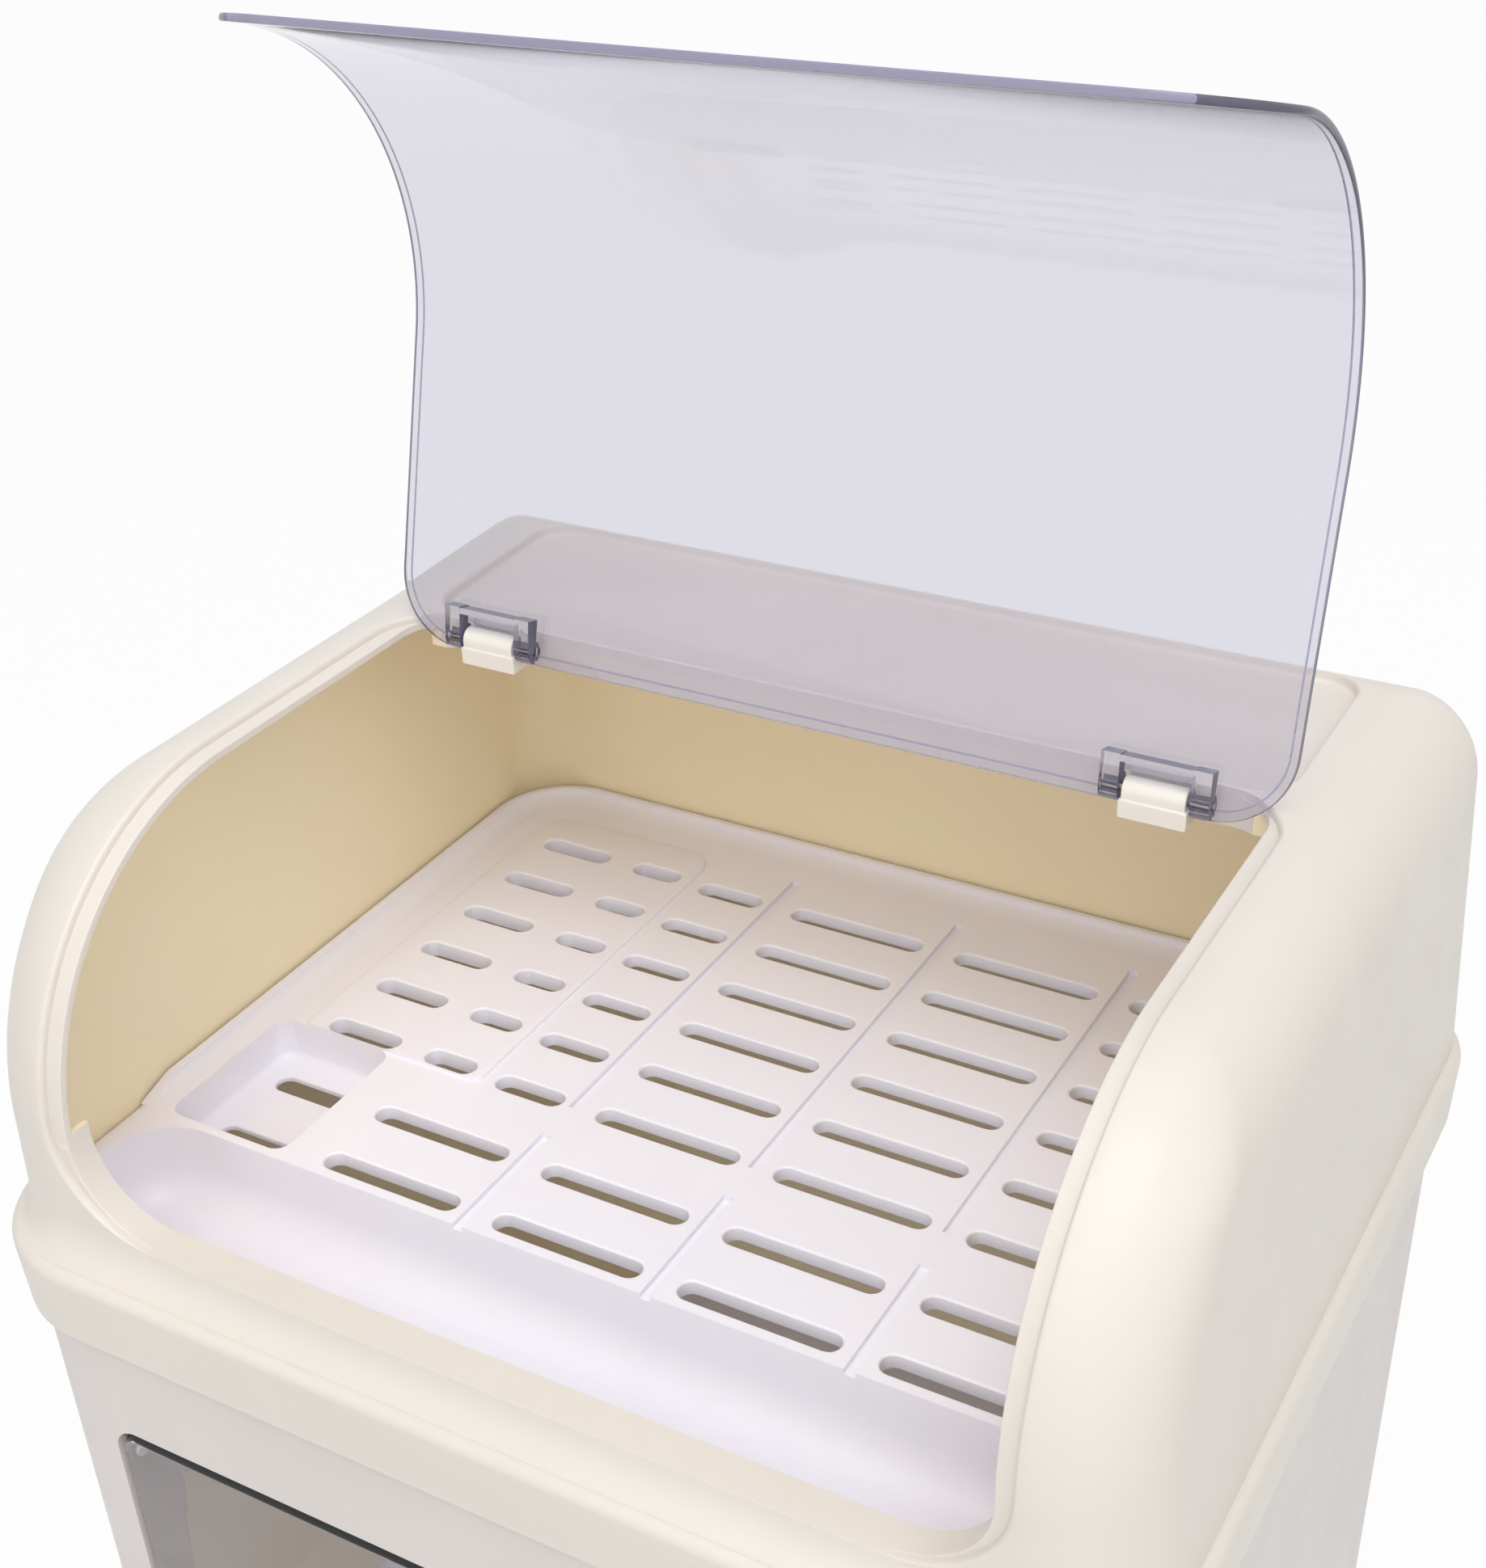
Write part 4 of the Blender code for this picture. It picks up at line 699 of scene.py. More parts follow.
@dataclass
class UpperHousing:
    """Hood, belt and skirt in one shell, with the lid's opening and rebate and the recessed deck."""

    finishes: Finishes
    belt_half_width: float = 0.215
    belt_half_depth: float = 0.1815
    belt_corners: Pair = (0.048, 0.040)
    belt_top: float = 0.301
    belt_edge: float = 0.004
    flare: float = 0.013
    ledge_rise: float = 0.0002
    skirt_bottom: float = 0.272
    skirt_wall: float = 0.002
    skirt_taper: float = 0.0015
    wall: float = 0.003
    draft: float = math.radians(2.0)
    crest: float = 0.4465
    half_width: float = 0.2104
    front: float = 0.1675
    back: float = 0.1728
    corners: Pair = (0.036, 0.024)
    least_corner: float = 0.006
    top_edge: float = 0.032
    arc: float = 0.102
    seat_width: float = 0.006
    seat_depth: float = 0.0028
    lip: float = 0.0056
    deck_edge_y: float = 0.0527
    deck_floor: float = 0.0032
    apron: float = 0.0145
    rim_shelf: float = 0.312
    rim_shelf_depth: float = 0.013
    lid_half_width: float = 0.1714
    lid_gap: float = 0.0006
    lid_corners: Pair = (0.026, 0.038)
    opening_back_corner: float = 0.016
    recess_back: float = 0.1455
    recess_depth: float = 0.005
    recess_corner: float = 0.014
    recess_taper: float = 0.0018
    rim_edge: float = 0.0016
    seat_edge: float = 0.0005
    hinge_x: float = 0.12855
    pin_y: float = 0.0422
    pin_z: float = 0.444
    tab_half_width: float = 0.0063
    tab_drops: Pair = (0.0085, 0.0059)
    tab_lead: float = 0.0023
    tab_reach: float = 0.006

    @property
    def rebate_half_width(self) -> float:
        """Half width of the rebate that the closed lid lies in."""
        return self.lid_half_width + self.lid_gap

    @property
    def opening_half_width(self) -> float:
        """Half width of the opening."""
        return self.rebate_half_width - self.seat_width

    @property
    def shelf_corner(self) -> float:
        """Radius of the opening's front corners."""
        return self.lid_corners[1] - self.seat_width

    @property
    def arc_y(self) -> float:
        """Y of the front arc's centre."""
        return self.arc - self.front

    @property
    def arc_z(self) -> float:
        """Height of the front arc's centre."""
        return self.crest - self.arc

    @property
    def straight(self) -> float:
        """Length of the flat part of the side profile, from the deck's edge."""
        return self.deck_edge_y - self.arc_y

    @property
    def to_shelf(self) -> float:
        """Length of the side profile from the deck's edge to the front rim's shelf."""
        return self.straight + self.arc * QUARTER + self.arc_z - self.rim_shelf

    @property
    def ledge_under(self) -> float:
        """Height of the underside of the ledge inside the belt."""
        return self.belt_top - self.wall - self.ledge_rise

    def belt(self, inset: Number, z: Number) -> Array:
        """Rings of the belt, inset from its widest line."""
        depth = self.belt_half_depth
        return rounded_rings(self.belt_half_width, depth, depth, self.belt_corners, z, inset)

    def hood(self, inset: float, front_inset: float, z: Array, shrink: Number, recede: Number) -> Array:
        """Rings of the hood: side and back walls that lean in by their rise times tan(draft).

        Args:
            inset: Distance inside the outer side and back walls.
            front_inset: Distance inside the outer front wall.
            z: Heights.
            shrink: How far the rounded top edge draws the sides and the back in.
            recede: How far the front arc has receded.

        Returns:
            The rings.
        """
        slope = (z - self.belt_top) * math.tan(self.draft)
        draw = inset + shrink
        corners = tuple(np.maximum(self.least_corner, corner - draw) for corner in self.corners)
        front = self.front - front_inset - recede
        return rounded_rings(self.half_width - slope - draw, front, self.back - slope - draw, corners, z)

    def hood_top(self, inset: float, top_inset: float) -> Array:
        """Rings from the foot of the front arc to the crest.

        The front recedes by r(1 - cos a) while the height gains r sin a, and near the top
        the sides are drawn in on a quarter circle of their own.

        Args:
            inset: Distance inside the outer side and back walls.
            top_inset: Distance inside the outer front and top.

        Returns:
            The rings, from low to high.
        """
        radius = self.arc - top_inset
        edge = self.top_edge - inset
        angle = np.linspace(0.0, QUARTER, ARC_STEPS + 1)
        z = self.arc_z + radius * np.sin(angle)
        rise = np.clip(z - (self.crest - top_inset - edge), 0.0, edge)
        shrink = edge - np.sqrt(edge**2 - rise**2)
        return self.hood(inset, top_inset, z, shrink, radius * (1 - np.cos(angle)))

    def outside(self) -> Array:
        """Rings of the outer skin: skirt, belt edge, flare, walls, front arc and shoulder.

        The flare is a mixture of the belt's ring and the hood's: the belt's share is 1 - sin a
        where the flare has risen by its height times 1 - cos a.

        Returns:
            The rings, from low to high.
        """
        drawn, missing = rounding(self.belt_edge)
        edge = self.belt(drawn, self.belt_top - missing)
        drawn, missing = rounding(1.0)
        z = self.belt_top + self.ledge_rise + self.flare * drawn
        share = missing[:, None, None]
        flare = self.hood(0.0, 0.0, z, 0.0, 0.0) * (1 - share) + self.belt(self.belt_edge, z) * share
        skirt = self.belt(self.skirt_taper, self.skirt_bottom)
        return np.concatenate([skirt, edge, flare, self.hood_top(0.0, 0.0)])

    def inside(self) -> Array:
        """Rings of the hollow: skirt, the step up to the ledge, walls and the arched top."""
        insets = np.array([self.skirt_taper + self.skirt_wall, self.skirt_wall])
        skirt = self.belt(insets, np.array([self.skirt_bottom - OVERRUN, self.ledge_under]))
        throat = self.hood(self.wall, self.lip, np.array([self.ledge_under]), 0.0, 0.0)
        return np.concatenate([skirt, throat, self.hood_top(self.wall, self.lip)])

    def profile(self, distance: Array, offset: Array) -> tuple[Array, Array]:
        """Y and Z along the side profile: a flat run back to front, a quarter arc, then straight down.

        Args:
            distance: Length along the profile from the deck's edge.
            offset: Distance outside the profile.

        Returns:
            Y and Z.
        """
        gone = distance - self.straight
        angle = np.clip(gone / self.arc, 0.0, QUARTER)
        radius = self.arc + offset
        y = self.arc_y + np.maximum(-gone, 0.0) - radius * np.sin(angle)
        z = self.arc_z + radius * np.cos(angle) - np.maximum(gone - self.arc * QUARTER, 0.0)
        return y, z

    def bent_plate(
        self, name: str, strip: Strip, section: tuple[Array, Array], material: Material,
        steps: int = ARC_STEPS,
    ) -> Piece:
        """A plate that follows the side profile, with stations close together where it turns.

        At each length along the profile the half width is the strip's plus the section's
        growth, so that the two parameters are the length and the place on the section.

        Args:
            name: Name of the object.
            strip: Its outline.
            section: Growths, and distances outside the profile.
            material: Its material.
            steps: Steps round the arc.

        Returns:
            The closed plate.
        """
        near = rounding(1.0, CORNER_STEPS)[0]
        arc = self.straight + self.arc * np.linspace(0.0, QUARTER, steps + 1)
        ends = [strip.start + strip.corners[0] * near, strip.end - strip.corners[1] * near]
        marks = np.sort(np.concatenate([*ends, arc]))
        marks = marks[(marks >= strip.start) & (marks <= strip.end)]
        along = marks[np.concatenate([[True], np.diff(marks) > LEAST_STEP])]
        grow, offset = section
        side = strip.sides(along)[:, None] + grow
        x = np.concatenate([side, -side[:, ::-1]], axis=1)
        y, z = self.profile(along[:, None], np.concatenate([offset, offset[::-1]]))
        return loft(name, np.stack([x, y, z], axis=-1), material)

    def hollow(self) -> Piece:
        """The hollow of the hood, less the deck, its apron and the shelf of the front rim.

        Returns:
            The cutter.
        """
        # The hollow and its blocks carry the inside material, so the hood's inner faces get painted warm
        # light.
        warm_painted_light, wall = self.finishes.warm_painted_light, self.wall
        hollow = loft("hood_hollow", self.inside(), warm_painted_light)
        width = self.belt_half_width + OVERRUN
        front = self.deck_edge_y - OVERRUN / 2
        deck_low = (-width, front, self.crest - self.recess_depth - self.deck_floor)
        deck = box("deck_block", deck_low, (width, self.belt_half_depth, self.crest + OVERRUN), warm_painted_light)
        half = self.opening_half_width - OVERRUN / 2
        apron_low = (-half, front, self.crest - self.apron)
        apron = box("apron_block", apron_low, (half, self.deck_edge_y + wall, self.crest), warm_painted_light)
        shelf = front_loft(
            "rim_shelf_block", self.opening_half_width + wall,
            (self.rim_shelf - wall, self.rim_shelf + self.shelf_corner + wall),
            (self.shelf_corner + wall, wall / 2),
            np.array([self.front - self.rim_shelf_depth, self.front + OVERRUN]), warm_painted_light,
        )
        return shape(hollow, cut=[deck, apron, shelf])

    def recess(self) -> Piece:
        """The deck's recess, with a floor that turns up into its walls and a rounded rim.

        Returns:
            The cutter.
        """
        drawn, missing = rounding(self.recess_taper)
        grow, z = mouth(self.rim_edge, self.crest, self.crest - self.rim_edge, self.crest + OVERRUN)
        inset = np.concatenate([missing, -grow[1:]])
        heights = np.concatenate([self.crest - self.recess_depth + drawn, z[1:]])
        front = -(self.deck_edge_y + self.wall)
        rings = rounded_rings(
            self.opening_half_width, front, self.recess_back, self.recess_corner, heights, inset
        )
        return loft("deck_recess", rings, self.finishes.cream)

    def build(self) -> None:
        """Build the shell and cut its opening, rebate, recess and tab slots."""
        cream = self.finishes.cream
        shell = loft("upper_housing_shell", self.outside(), cream)
        hollow = self.hollow()
        corners = (self.opening_back_corner, self.shelf_corner)
        strip = Strip(0.0, self.to_shelf, self.opening_half_width, corners)
        section = mouth(self.seat_edge, -self.seat_depth, -self.apron - OVERRUN, OVERRUN)
        opening = self.bent_plate("lid_opening", strip, section, cream, OPENING_ARC_STEPS)
        strip = Strip(0.0, self.to_shelf, self.rebate_half_width, self.lid_corners)
        section = mouth(self.rim_edge, 0.0, -self.seat_depth, OVERRUN)
        rebate = self.bent_plate("lid_rebate", strip, section, cream)
        slot_y = (self.deck_edge_y - self.tab_lead, self.deck_edge_y + self.tab_reach)
        middles = [side * self.hinge_x for side in SIDES]
        places = [(x - self.tab_half_width, x + self.tab_half_width, *slot_y) for x in middles]
        levels = [self.pin_z - drop for drop in self.tab_drops]
        tabs = prisms("tab_slots", rectangles(places), *levels, cream)
        shape(shell, cut=[hollow, opening, rebate, self.recess(), tabs])
        place(shell, "upper_housing")


# Lid and hinges


@dataclass
class Lid:
    """Bent clear lid with hinge ears, swung open about its pin."""

    finishes: Finishes
    housing: UpperHousing
    thickness: float = 0.0025
    edge_radius: float = 0.0011
    skin: float = 0.0017
    border: float = 0.0030
    border_width: float = 0.0006
    border_depth: float = 0.0004
    tail: float = 0.005
    end_gap: float = 0.0006
    setback: float = 0.0105
    lean: float = math.radians(14.9)
    ear_inner: float = 0.012
    ear_outer: float = 0.0185
    ear_boss: float = 0.0045
    ear_reach: float = 0.012
    ear_depth: float = 0.006
    ear_lap: float = 0.0003
    bar_thickness: float = 0.0025
    notch_reach: float = 0.0052
    bore_radius: float = 0.0018

    @property
    def strip(self) -> Strip:
        """The lid's outline."""
        housing = self.housing
        end = housing.to_shelf - self.end_gap
        return Strip(self.setback - self.tail, end, housing.lid_half_width, housing.lid_corners)

    def sheet(self) -> Piece:
        """The bent sheet with rounded edges and a fine groove that runs round it, inside its edge, whose
        faces carry painted shade for the line that refraction draws there.

        The section's ends are half circles: offset by r cos a and grown by r(sin a - 1).

        Returns:
            The sheet.
        """
        housing, radius, pale = self.housing, self.edge_radius, self.finishes.painted_pale_edge_shade
        turn = np.linspace(0.0, math.pi, SECTION_STEPS + 1)
        middle = np.where(turn < QUARTER, radius - self.thickness, -radius)
        section = (radius * (np.sin(turn) - 1), middle - radius * np.cos(turn))
        lid = housing.bent_plate("lid_sheet", self.strip, section, self.finishes.clear)
        plates = []
        for name, inset, low in (("border", 0.0, 0.0), ("border_core", self.border_width, OVERRUN)):
            section = (np.zeros(2), np.array([-self.border_depth - low, OVERRUN]))
            strip = self.strip.inside(self.border + inset)
            plates.append(housing.bent_plate(name, strip, section, pale))
        return shape(lid, cut=[shape(plates[0], cut=[plates[1]])])

    def ear_profile(self) -> Array:
        """Side outline of an ear about the pin: a block ahead of the pin and a half circle behind it."""
        turn = np.linspace(0.0, math.pi, 2 * CORNER_STEPS)
        boss = self.ear_boss * np.column_stack([np.sin(turn), -np.cos(turn)])
        start = [(-self.ear_reach, self.skin), (-self.ear_reach, -self.ear_depth)]
        return np.concatenate([start, boss, [(-self.ear_boss, self.skin)]])

    def add_ears(self, lid: Piece) -> None:
        """Cut the notches for the knuckles, and add the ears, their bars and the pin's bores.

        Args:
            lid: The closed lid about its pin.
        """
        clear, lap, skin = self.finishes.clear, self.ear_lap, self.skin
        spans = ((-self.ear_outer, -self.ear_inner), (self.ear_inner, self.ear_outer))
        for side in SIDES:
            x = side * self.housing.hinge_x
            half = self.ear_inner + lap
            low = (x - half, -self.notch_reach, -self.thickness)
            high = (x + half, self.tail + OVERRUN, self.thickness + OVERRUN)
            shape(lid, cut=[box(f"notch_{side}", low, high, clear)])
            ears = [
                side_prism(f"ear_{side}_{near}", self.ear_profile(), x + near, x + far, clear)
                for near, far in spans
            ]
            half = self.ear_inner + OVERRUN / 2
            low = (x - half, lap - self.ear_reach, lap - self.ear_depth)
            high = (x + half, self.bar_thickness - self.ear_reach, skin - lap)
            ears.append(box(f"ear_bar_{side}", low, high, clear))
            reach = self.ear_outer + lap
            bore = side_prism(f"bore_{side}", circle(self.bore_radius), x - reach, x + reach, clear)
            shape(lid, ears, [bore])

    def tint(self, lid: Piece) -> None:
        """Paint the faces that stand across the sheet darker: painted shade for the dark look that
        refraction gives the clear sheet's edges, a lighter one at the free end.

        Args:
            lid: The closed lid about its pin.
        """
        housing, mesh = self.housing, lid.data
        _, y, z = (per_face(mesh, "center") + (0.0, housing.pin_y, housing.pin_z)).T
        outward = (np.zeros_like(y), np.minimum(y - housing.arc_y, 0.0), np.maximum(z - housing.arc_z, 0.0))
        normal = np.stack(outward, axis=1)
        normal /= np.maximum(np.linalg.norm(normal, axis=1, keepdims=True), TINY)
        across = np.abs(np.einsum("ij,ij->i", per_face(mesh, "normal"), normal)) < RIM_LIMIT
        free_end = z < housing.rim_shelf + 2 * self.thickness
        index = np.empty(len(mesh.polygons), dtype=np.int32)
        mesh.polygons.foreach_get("material_index", index)
        # Painted shade: the edge faces take the dark edge material, those at the free end the paler one.
        for finish, within in ((self.finishes.rim, ~free_end), (self.finishes.painted_pale_edge_shade, free_end)):
            if finish.name not in mesh.materials:
                mesh.materials.append(finish)
            index[across & within] = mesh.materials.find(finish.name)
        mesh.polygons.foreach_set("material_index", index)

    def build(self) -> None:
        """Build the lid closed, about its pin, and swing it open."""
        housing, lid = self.housing, self.sheet()
        transform(lid, Matrix.Translation((0.0, -housing.pin_y, -housing.pin_z)))
        self.add_ears(lid)
        self.tint(lid)
        from_pin = Matrix.Translation((0.0, housing.pin_y, housing.pin_z))
        transform(lid, from_pin @ Matrix.Rotation(-(QUARTER + self.lean), 4, "X"))
        place(lid, "lid", Body.LID, CLEAR_SHARP)


@dataclass
class HingeKnuckle:
    """Ivory knuckle: base block, tongue with the pin's boss and the lid's stop, and mounting tab."""

    finishes: Finishes
    lid: Lid
    half_width: float = 0.0115
    tongue_half_width: float = 0.0107
    front: float = 0.005
    drop: float = 0.0088
    shoulder: float = 0.0022
    stop_rise: float = 0.007
    seat_gap: float = 0.0003
    tab_half_width: float = 0.006
    tab_drop: float = 0.0062
    tab_thickness: float = 0.002
    edge: float = 0.0004

    def tongue_profile(self) -> Array:
        """Side outline of the tongue about the pin: upright block, slanted stop face and a round nose."""
        lean, boss = self.lid.lean, self.lid.ear_boss
        sheet = np.array([math.sin(lean), math.cos(lean)])
        normal = np.array([math.cos(lean), -math.sin(lean)])
        offset = self.lid.thickness + self.seat_gap
        back = self.lid.setback - self.seat_gap
        foot = normal * offset + sheet * math.sqrt(boss**2 - offset**2)
        peak = normal * offset + sheet * self.stop_rise
        turn = np.linspace(math.atan2(foot[1], foot[0]), math.pi, CORNER_STEPS + 1)
        nose = boss * np.column_stack([np.cos(turn), np.sin(turn)])
        low = self.shoulder - self.drop
        block = [(-boss, low), (back, low), (back, self.lid.thickness)]
        block += [((peak[0] + back) / 2, peak[1]), tuple(peak)]
        return np.concatenate([np.array(block), nose])

    def build(self, node: str, side: int) -> None:
        """Build one knuckle.

        Args:
            node: The CAD node that it stands for.
            side: -1 for the left one, 1 for the right one.
        """
        ivory, housing = self.finishes.ivory, self.lid.housing
        back = self.lid.setback - self.seat_gap
        x = side * housing.hinge_x
        low, high = (x - self.half_width, x + self.half_width)
        base = rectangles([(-self.front, back, -self.drop, -self.shoulder)])[0]
        knuckle = side_prism(f"{node}_moulding", base, low, high, ivory)
        reach = self.tongue_half_width
        tongue = side_prism(f"tongue_{side}", self.tongue_profile(), x - reach, x + reach, ivory)
        tab_low = (x - self.tab_half_width, back - OVERRUN / 2, -self.tab_drop - self.tab_thickness)
        tab_high = (x + self.tab_half_width, back + housing.tab_reach, -self.tab_drop)
        tab = box(f"tab_{side}", tab_low, tab_high, ivory)
        ring = circle(self.lid.bore_radius)
        bore = side_prism(f"knuckle_bore_{side}", ring, low - OVERRUN, high + OVERRUN, ivory)
        shape(knuckle, [tongue, tab], [bore])
        transform(knuckle, Matrix.Translation((0.0, housing.pin_y, housing.pin_z)))
        place(knuckle, node, round_edge=self.edge)


# Upper drain tray


@dataclass
class DrainTray:
    """Slotted tray: flange, panel, border, raised left field, side pocket, front gutter and coring."""

    finishes: Finishes
    housing: UpperHousing
    flange_inset: float = 0.0035
    flange_top: float = 0.2975
    flange_bottom: float = 0.2949
    rise: float = 0.003
    side: float = 0.20691746
    front: float = 0.1614
    back: float = 0.16931746
    corner: float = 0.034
    shoulder: float = 0.0055
    top_edge: float = 0.0008
    border_inset: float = 0.0009
    border_rise: float = 0.0050
    border_root: float = 0.0010
    border_foot: float = 0.00005
    border_flat: float = 0.0032
    border_fillet: float = 0.0078
    border_front: float = -0.0965
    border_ramp: float = 0.030
    skin: float = 0.0022
    slot_width: float = 0.0088
    slot_edge: float = 0.0009
    back_rows: int = 6
    front_rows: int = 2
    row_y: float = 0.12329
    front_row_y: float = -0.06050
    row_pitch: float = 0.029693
    collar: float = 0.0022
    groove_width: float = 0.0042
    groove_depth: float = 0.0022
    groove_spans: tuple = ((-0.0270, 0.1450), (-0.1030, -0.0440))
    plateau_rise: float = 0.0014
    plateau_corner: float = 0.012
    plateau_back: float = 0.1450
    plateau_front: float = -0.0300
    pocket_depth: float = 0.017
    pocket_corner: float = 0.006
    pocket_front: float = -0.0955
    pocket_slot: Pair = (0.008, 0.042)
    pocket_row_inset: float = 0.016
    tub_corner_share: float = 0.2
    gutter_depth: float = 0.030
    gutter_back: float = -0.0990
    gutter_corner_share: float = 0.43
    gutter_fillet: float = 0.014
    splits: tuple = (-0.65, -0.487, -0.287, 0.075, 0.435, 0.78)
    narrow_columns: tuple = ((-0.8373, -0.6808), (-0.6181, -0.5109))
    wide_columns: tuple = ((-0.4626, -0.3216), (-0.2492, 0.0343), (0.1053, 0.3935), (0.4602, 0.7484))
    front_columns: tuple = ((-0.6007, -0.3240), (-0.2492, 0.0343), (0.1053, 0.3935), (0.4602, 0.7484))
    grooves: tuple = (-0.2950, 0.0681, 0.4288)
    plateau: Pair = (-0.8836, -0.4867)
    pocket: Pair = (-0.9367, -0.6808)

    @property
    def panel(self) -> float:
        """Height of the panel's top."""
        return self.flange_top + self.rise

    @property
    def rows(self) -> list:
        """Y of the rear rows of slots, from the back."""
        return [self.row_y - row * self.row_pitch for row in range(self.back_rows)]

    def span(self, shares: Pair) -> tuple[float, float]:
        """Low and high X from shares of the panel's half width."""
        return shares[0] * self.side, shares[1] * self.side

    def outline(self, inset: Number, z: Number) -> Array:
        """Rings of the panel's outline, drawn in."""
        return rounded_rings(self.side, self.front, self.back, self.corner, z, inset)

    def tub(self, name: str, grow: float, floor: float, top: float, sizes: tuple) -> Piece:
        """A tub whose floor meets its walls in a quarter circle.

        Args:
            name: Name of the object.
            grow: Distance outside the hollow's wall.
            floor: Height of the floor.
            top: Height of the brim.
            sizes: Half width, front, back, corner, fillet and middle X of the hollow.

        Returns:
            The tub, as a block.
        """
        half, front, back, corner, fillet, x = sizes
        inset, z = footed(floor, fillet + grow, top)
        draw = inset - grow
        corners = np.maximum(corner, (corner + grow) * self.tub_corner_share + draw)
        return loft(name, rounded_rings(half, front, back, corners, z, draw, x), self.finishes.white)

    def border(self) -> Piece:
        """The raised border round the sides and the back, which slopes off beside the pocket.

        Its inner face lies flat + fillet(1 - cos a) inside the outline where it has come down by
        rise sin a, so that it starts upright and ends level with the panel.

        Returns:
            The border.
        """
        white, edge, top = self.finishes.white, self.top_edge, self.panel + self.border_rise
        low, start = self.flange_top - self.border_root, self.border_inset
        inset, z = topped(low, top, edge)
        block = loft("tray_border", self.outline(start + inset, z), white)
        grow, mouth_z = mouth(edge, top, low, top + OVERRUN)
        drawn, missing = (part[::-1] for part in rounding(1.0))
        fall = top - edge - self.panel - self.border_foot
        inner_z = np.concatenate([[low - OVERRUN], top - edge - fall * (1 - missing), mouth_z[2:]])
        inset = self.border_flat + self.border_fillet * drawn
        inset = np.concatenate([inset[:1], inset, self.border_flat - grow[2:]])
        hollow = loft("border_hollow", self.outline(start + inset, inner_z), white)
        under, above, ahead = low - OVERRUN, top + OVERRUN, -self.front - OVERRUN
        ramp = [(ahead, under), (self.border_front, under), (self.border_front, self.panel)]
        ramp += [(self.border_front + self.border_ramp, above), (ahead, above)]
        half = self.side + OVERRUN
        return shape(block, cut=[hollow, side_prism("border_ramp", np.array(ramp), -half, half, white)])

    def slot_places(self, columns: tuple, first_y: float, count: int) -> list:
        """Rows of (low_x, high_x, y, width) of a field of drain slots.

        Args:
            columns: Each column's ends, as shares of the panel's half width.
            first_y: Y of the rearmost row.
            count: Number of rows.

        Returns:
            One place for each slot.
        """
        rows = [first_y - row * self.row_pitch for row in range(count)]
        return [(*self.span(shares), y, self.slot_width) for y in rows for shares in columns]

    def coring(self) -> Array:
        """Outlines of the hollows under the panel, between the collars of the slots."""
        reach = self.slot_width / 2 + self.collar
        rows, front_y = self.rows, self.front_row_y
        places = []
        for shares in self.wide_columns:
            ends = self.span(shares)
            places += [(*ends, beyond + reach, y - reach) for y, beyond in zip(rows, rows[1:] + [front_y])]
            places.append((*ends, rows[0] + reach, self.back - self.flange_inset))
        low_y = front_y - self.row_pitch + reach
        places += [(*self.span(shares), low_y, front_y - reach) for shares in self.front_columns[1:]]
        return rectangles(places)

    def field_coring(self) -> Array:
        """Outlines of the hollows under the raised field, between its rows of slots."""
        reach = self.slot_width / 2 + self.collar
        low_x, high_x = self.span(self.plateau)
        low_x, high_x = low_x + self.collar, high_x - self.collar
        ends = [self.plateau_back - self.collar] + [y - reach for y in self.rows[:-1]]
        return rectangles([(low_x, high_x, y + reach, end) for y, end in zip(self.rows, ends)])

    def blank(self) -> Piece:
        """The tray's flange, shoulder and panel, split where slots will be cut.

        Returns:
            The blank.
        """
        drawn, missing = rounding(1.0)
        top = self.outline(self.shoulder * drawn, self.panel - self.rise * missing)
        flange = self.housing.belt(self.flange_inset, np.array([self.flange_bottom, self.flange_top]))
        tray = loft("drain_tray_moulding", np.concatenate([flange, top]), self.finishes.white)
        count = self.back_rows + self.front_rows + 1
        lines_y = [self.row_y + (0.5 - row) * self.row_pitch for row in range(count)]
        divide(tray, [share * self.side for share in self.splits], lines_y)
        return tray

    def add_hollows(self, tray: Piece, field_top: float) -> None:
        """Add the raised field, the border and the two tubs, and hollow the tubs out.

        Args:
            tray: The tray's blank.
            field_top: Height of the raised field.
        """
        low_x, high_x = self.span(self.plateau)
        inset, z = topped(self.panel - self.top_edge, field_top, self.top_edge, FINE_STEPS)
        rings = rounded_rings(
            (high_x - low_x) / 2, inset - self.plateau_front, self.plateau_back,
            (inset + self.pocket_corner / 2, self.plateau_corner), z, inset, (high_x + low_x) / 2,
        )
        parts = [loft("raised_field", rings, self.finishes.white), self.border()]
        low_x, high_x = self.span(self.pocket)
        pocket = (
            (high_x - low_x) / 2, -self.pocket_front, self.plateau_front, self.pocket_corner,
            self.pocket_corner / 2, (high_x + low_x) / 2,
        )
        front = self.front - self.skin
        corner = (front + self.gutter_back) * self.gutter_corner_share
        half = self.side - self.skin - self.pocket_corner
        gutter = (half, front, self.gutter_back, corner, self.gutter_fillet, 0.0)
        join, skin = (self.flange_bottom + self.flange_top) / 2, self.skin
        tubs = (
            ("pocket", self.panel - self.pocket_depth, pocket),
            ("gutter", self.panel - self.gutter_depth, gutter),
        )
        hollows = []
        for name, floor, sizes in tubs:
            parts.append(self.tub(f"{name}_tub", skin, floor - skin, join, sizes))
            hollows.append(self.tub(f"{name}_hollow", 0.0, floor, field_top + OVERRUN, sizes))
        shape(tray, parts, hollows[::-1])

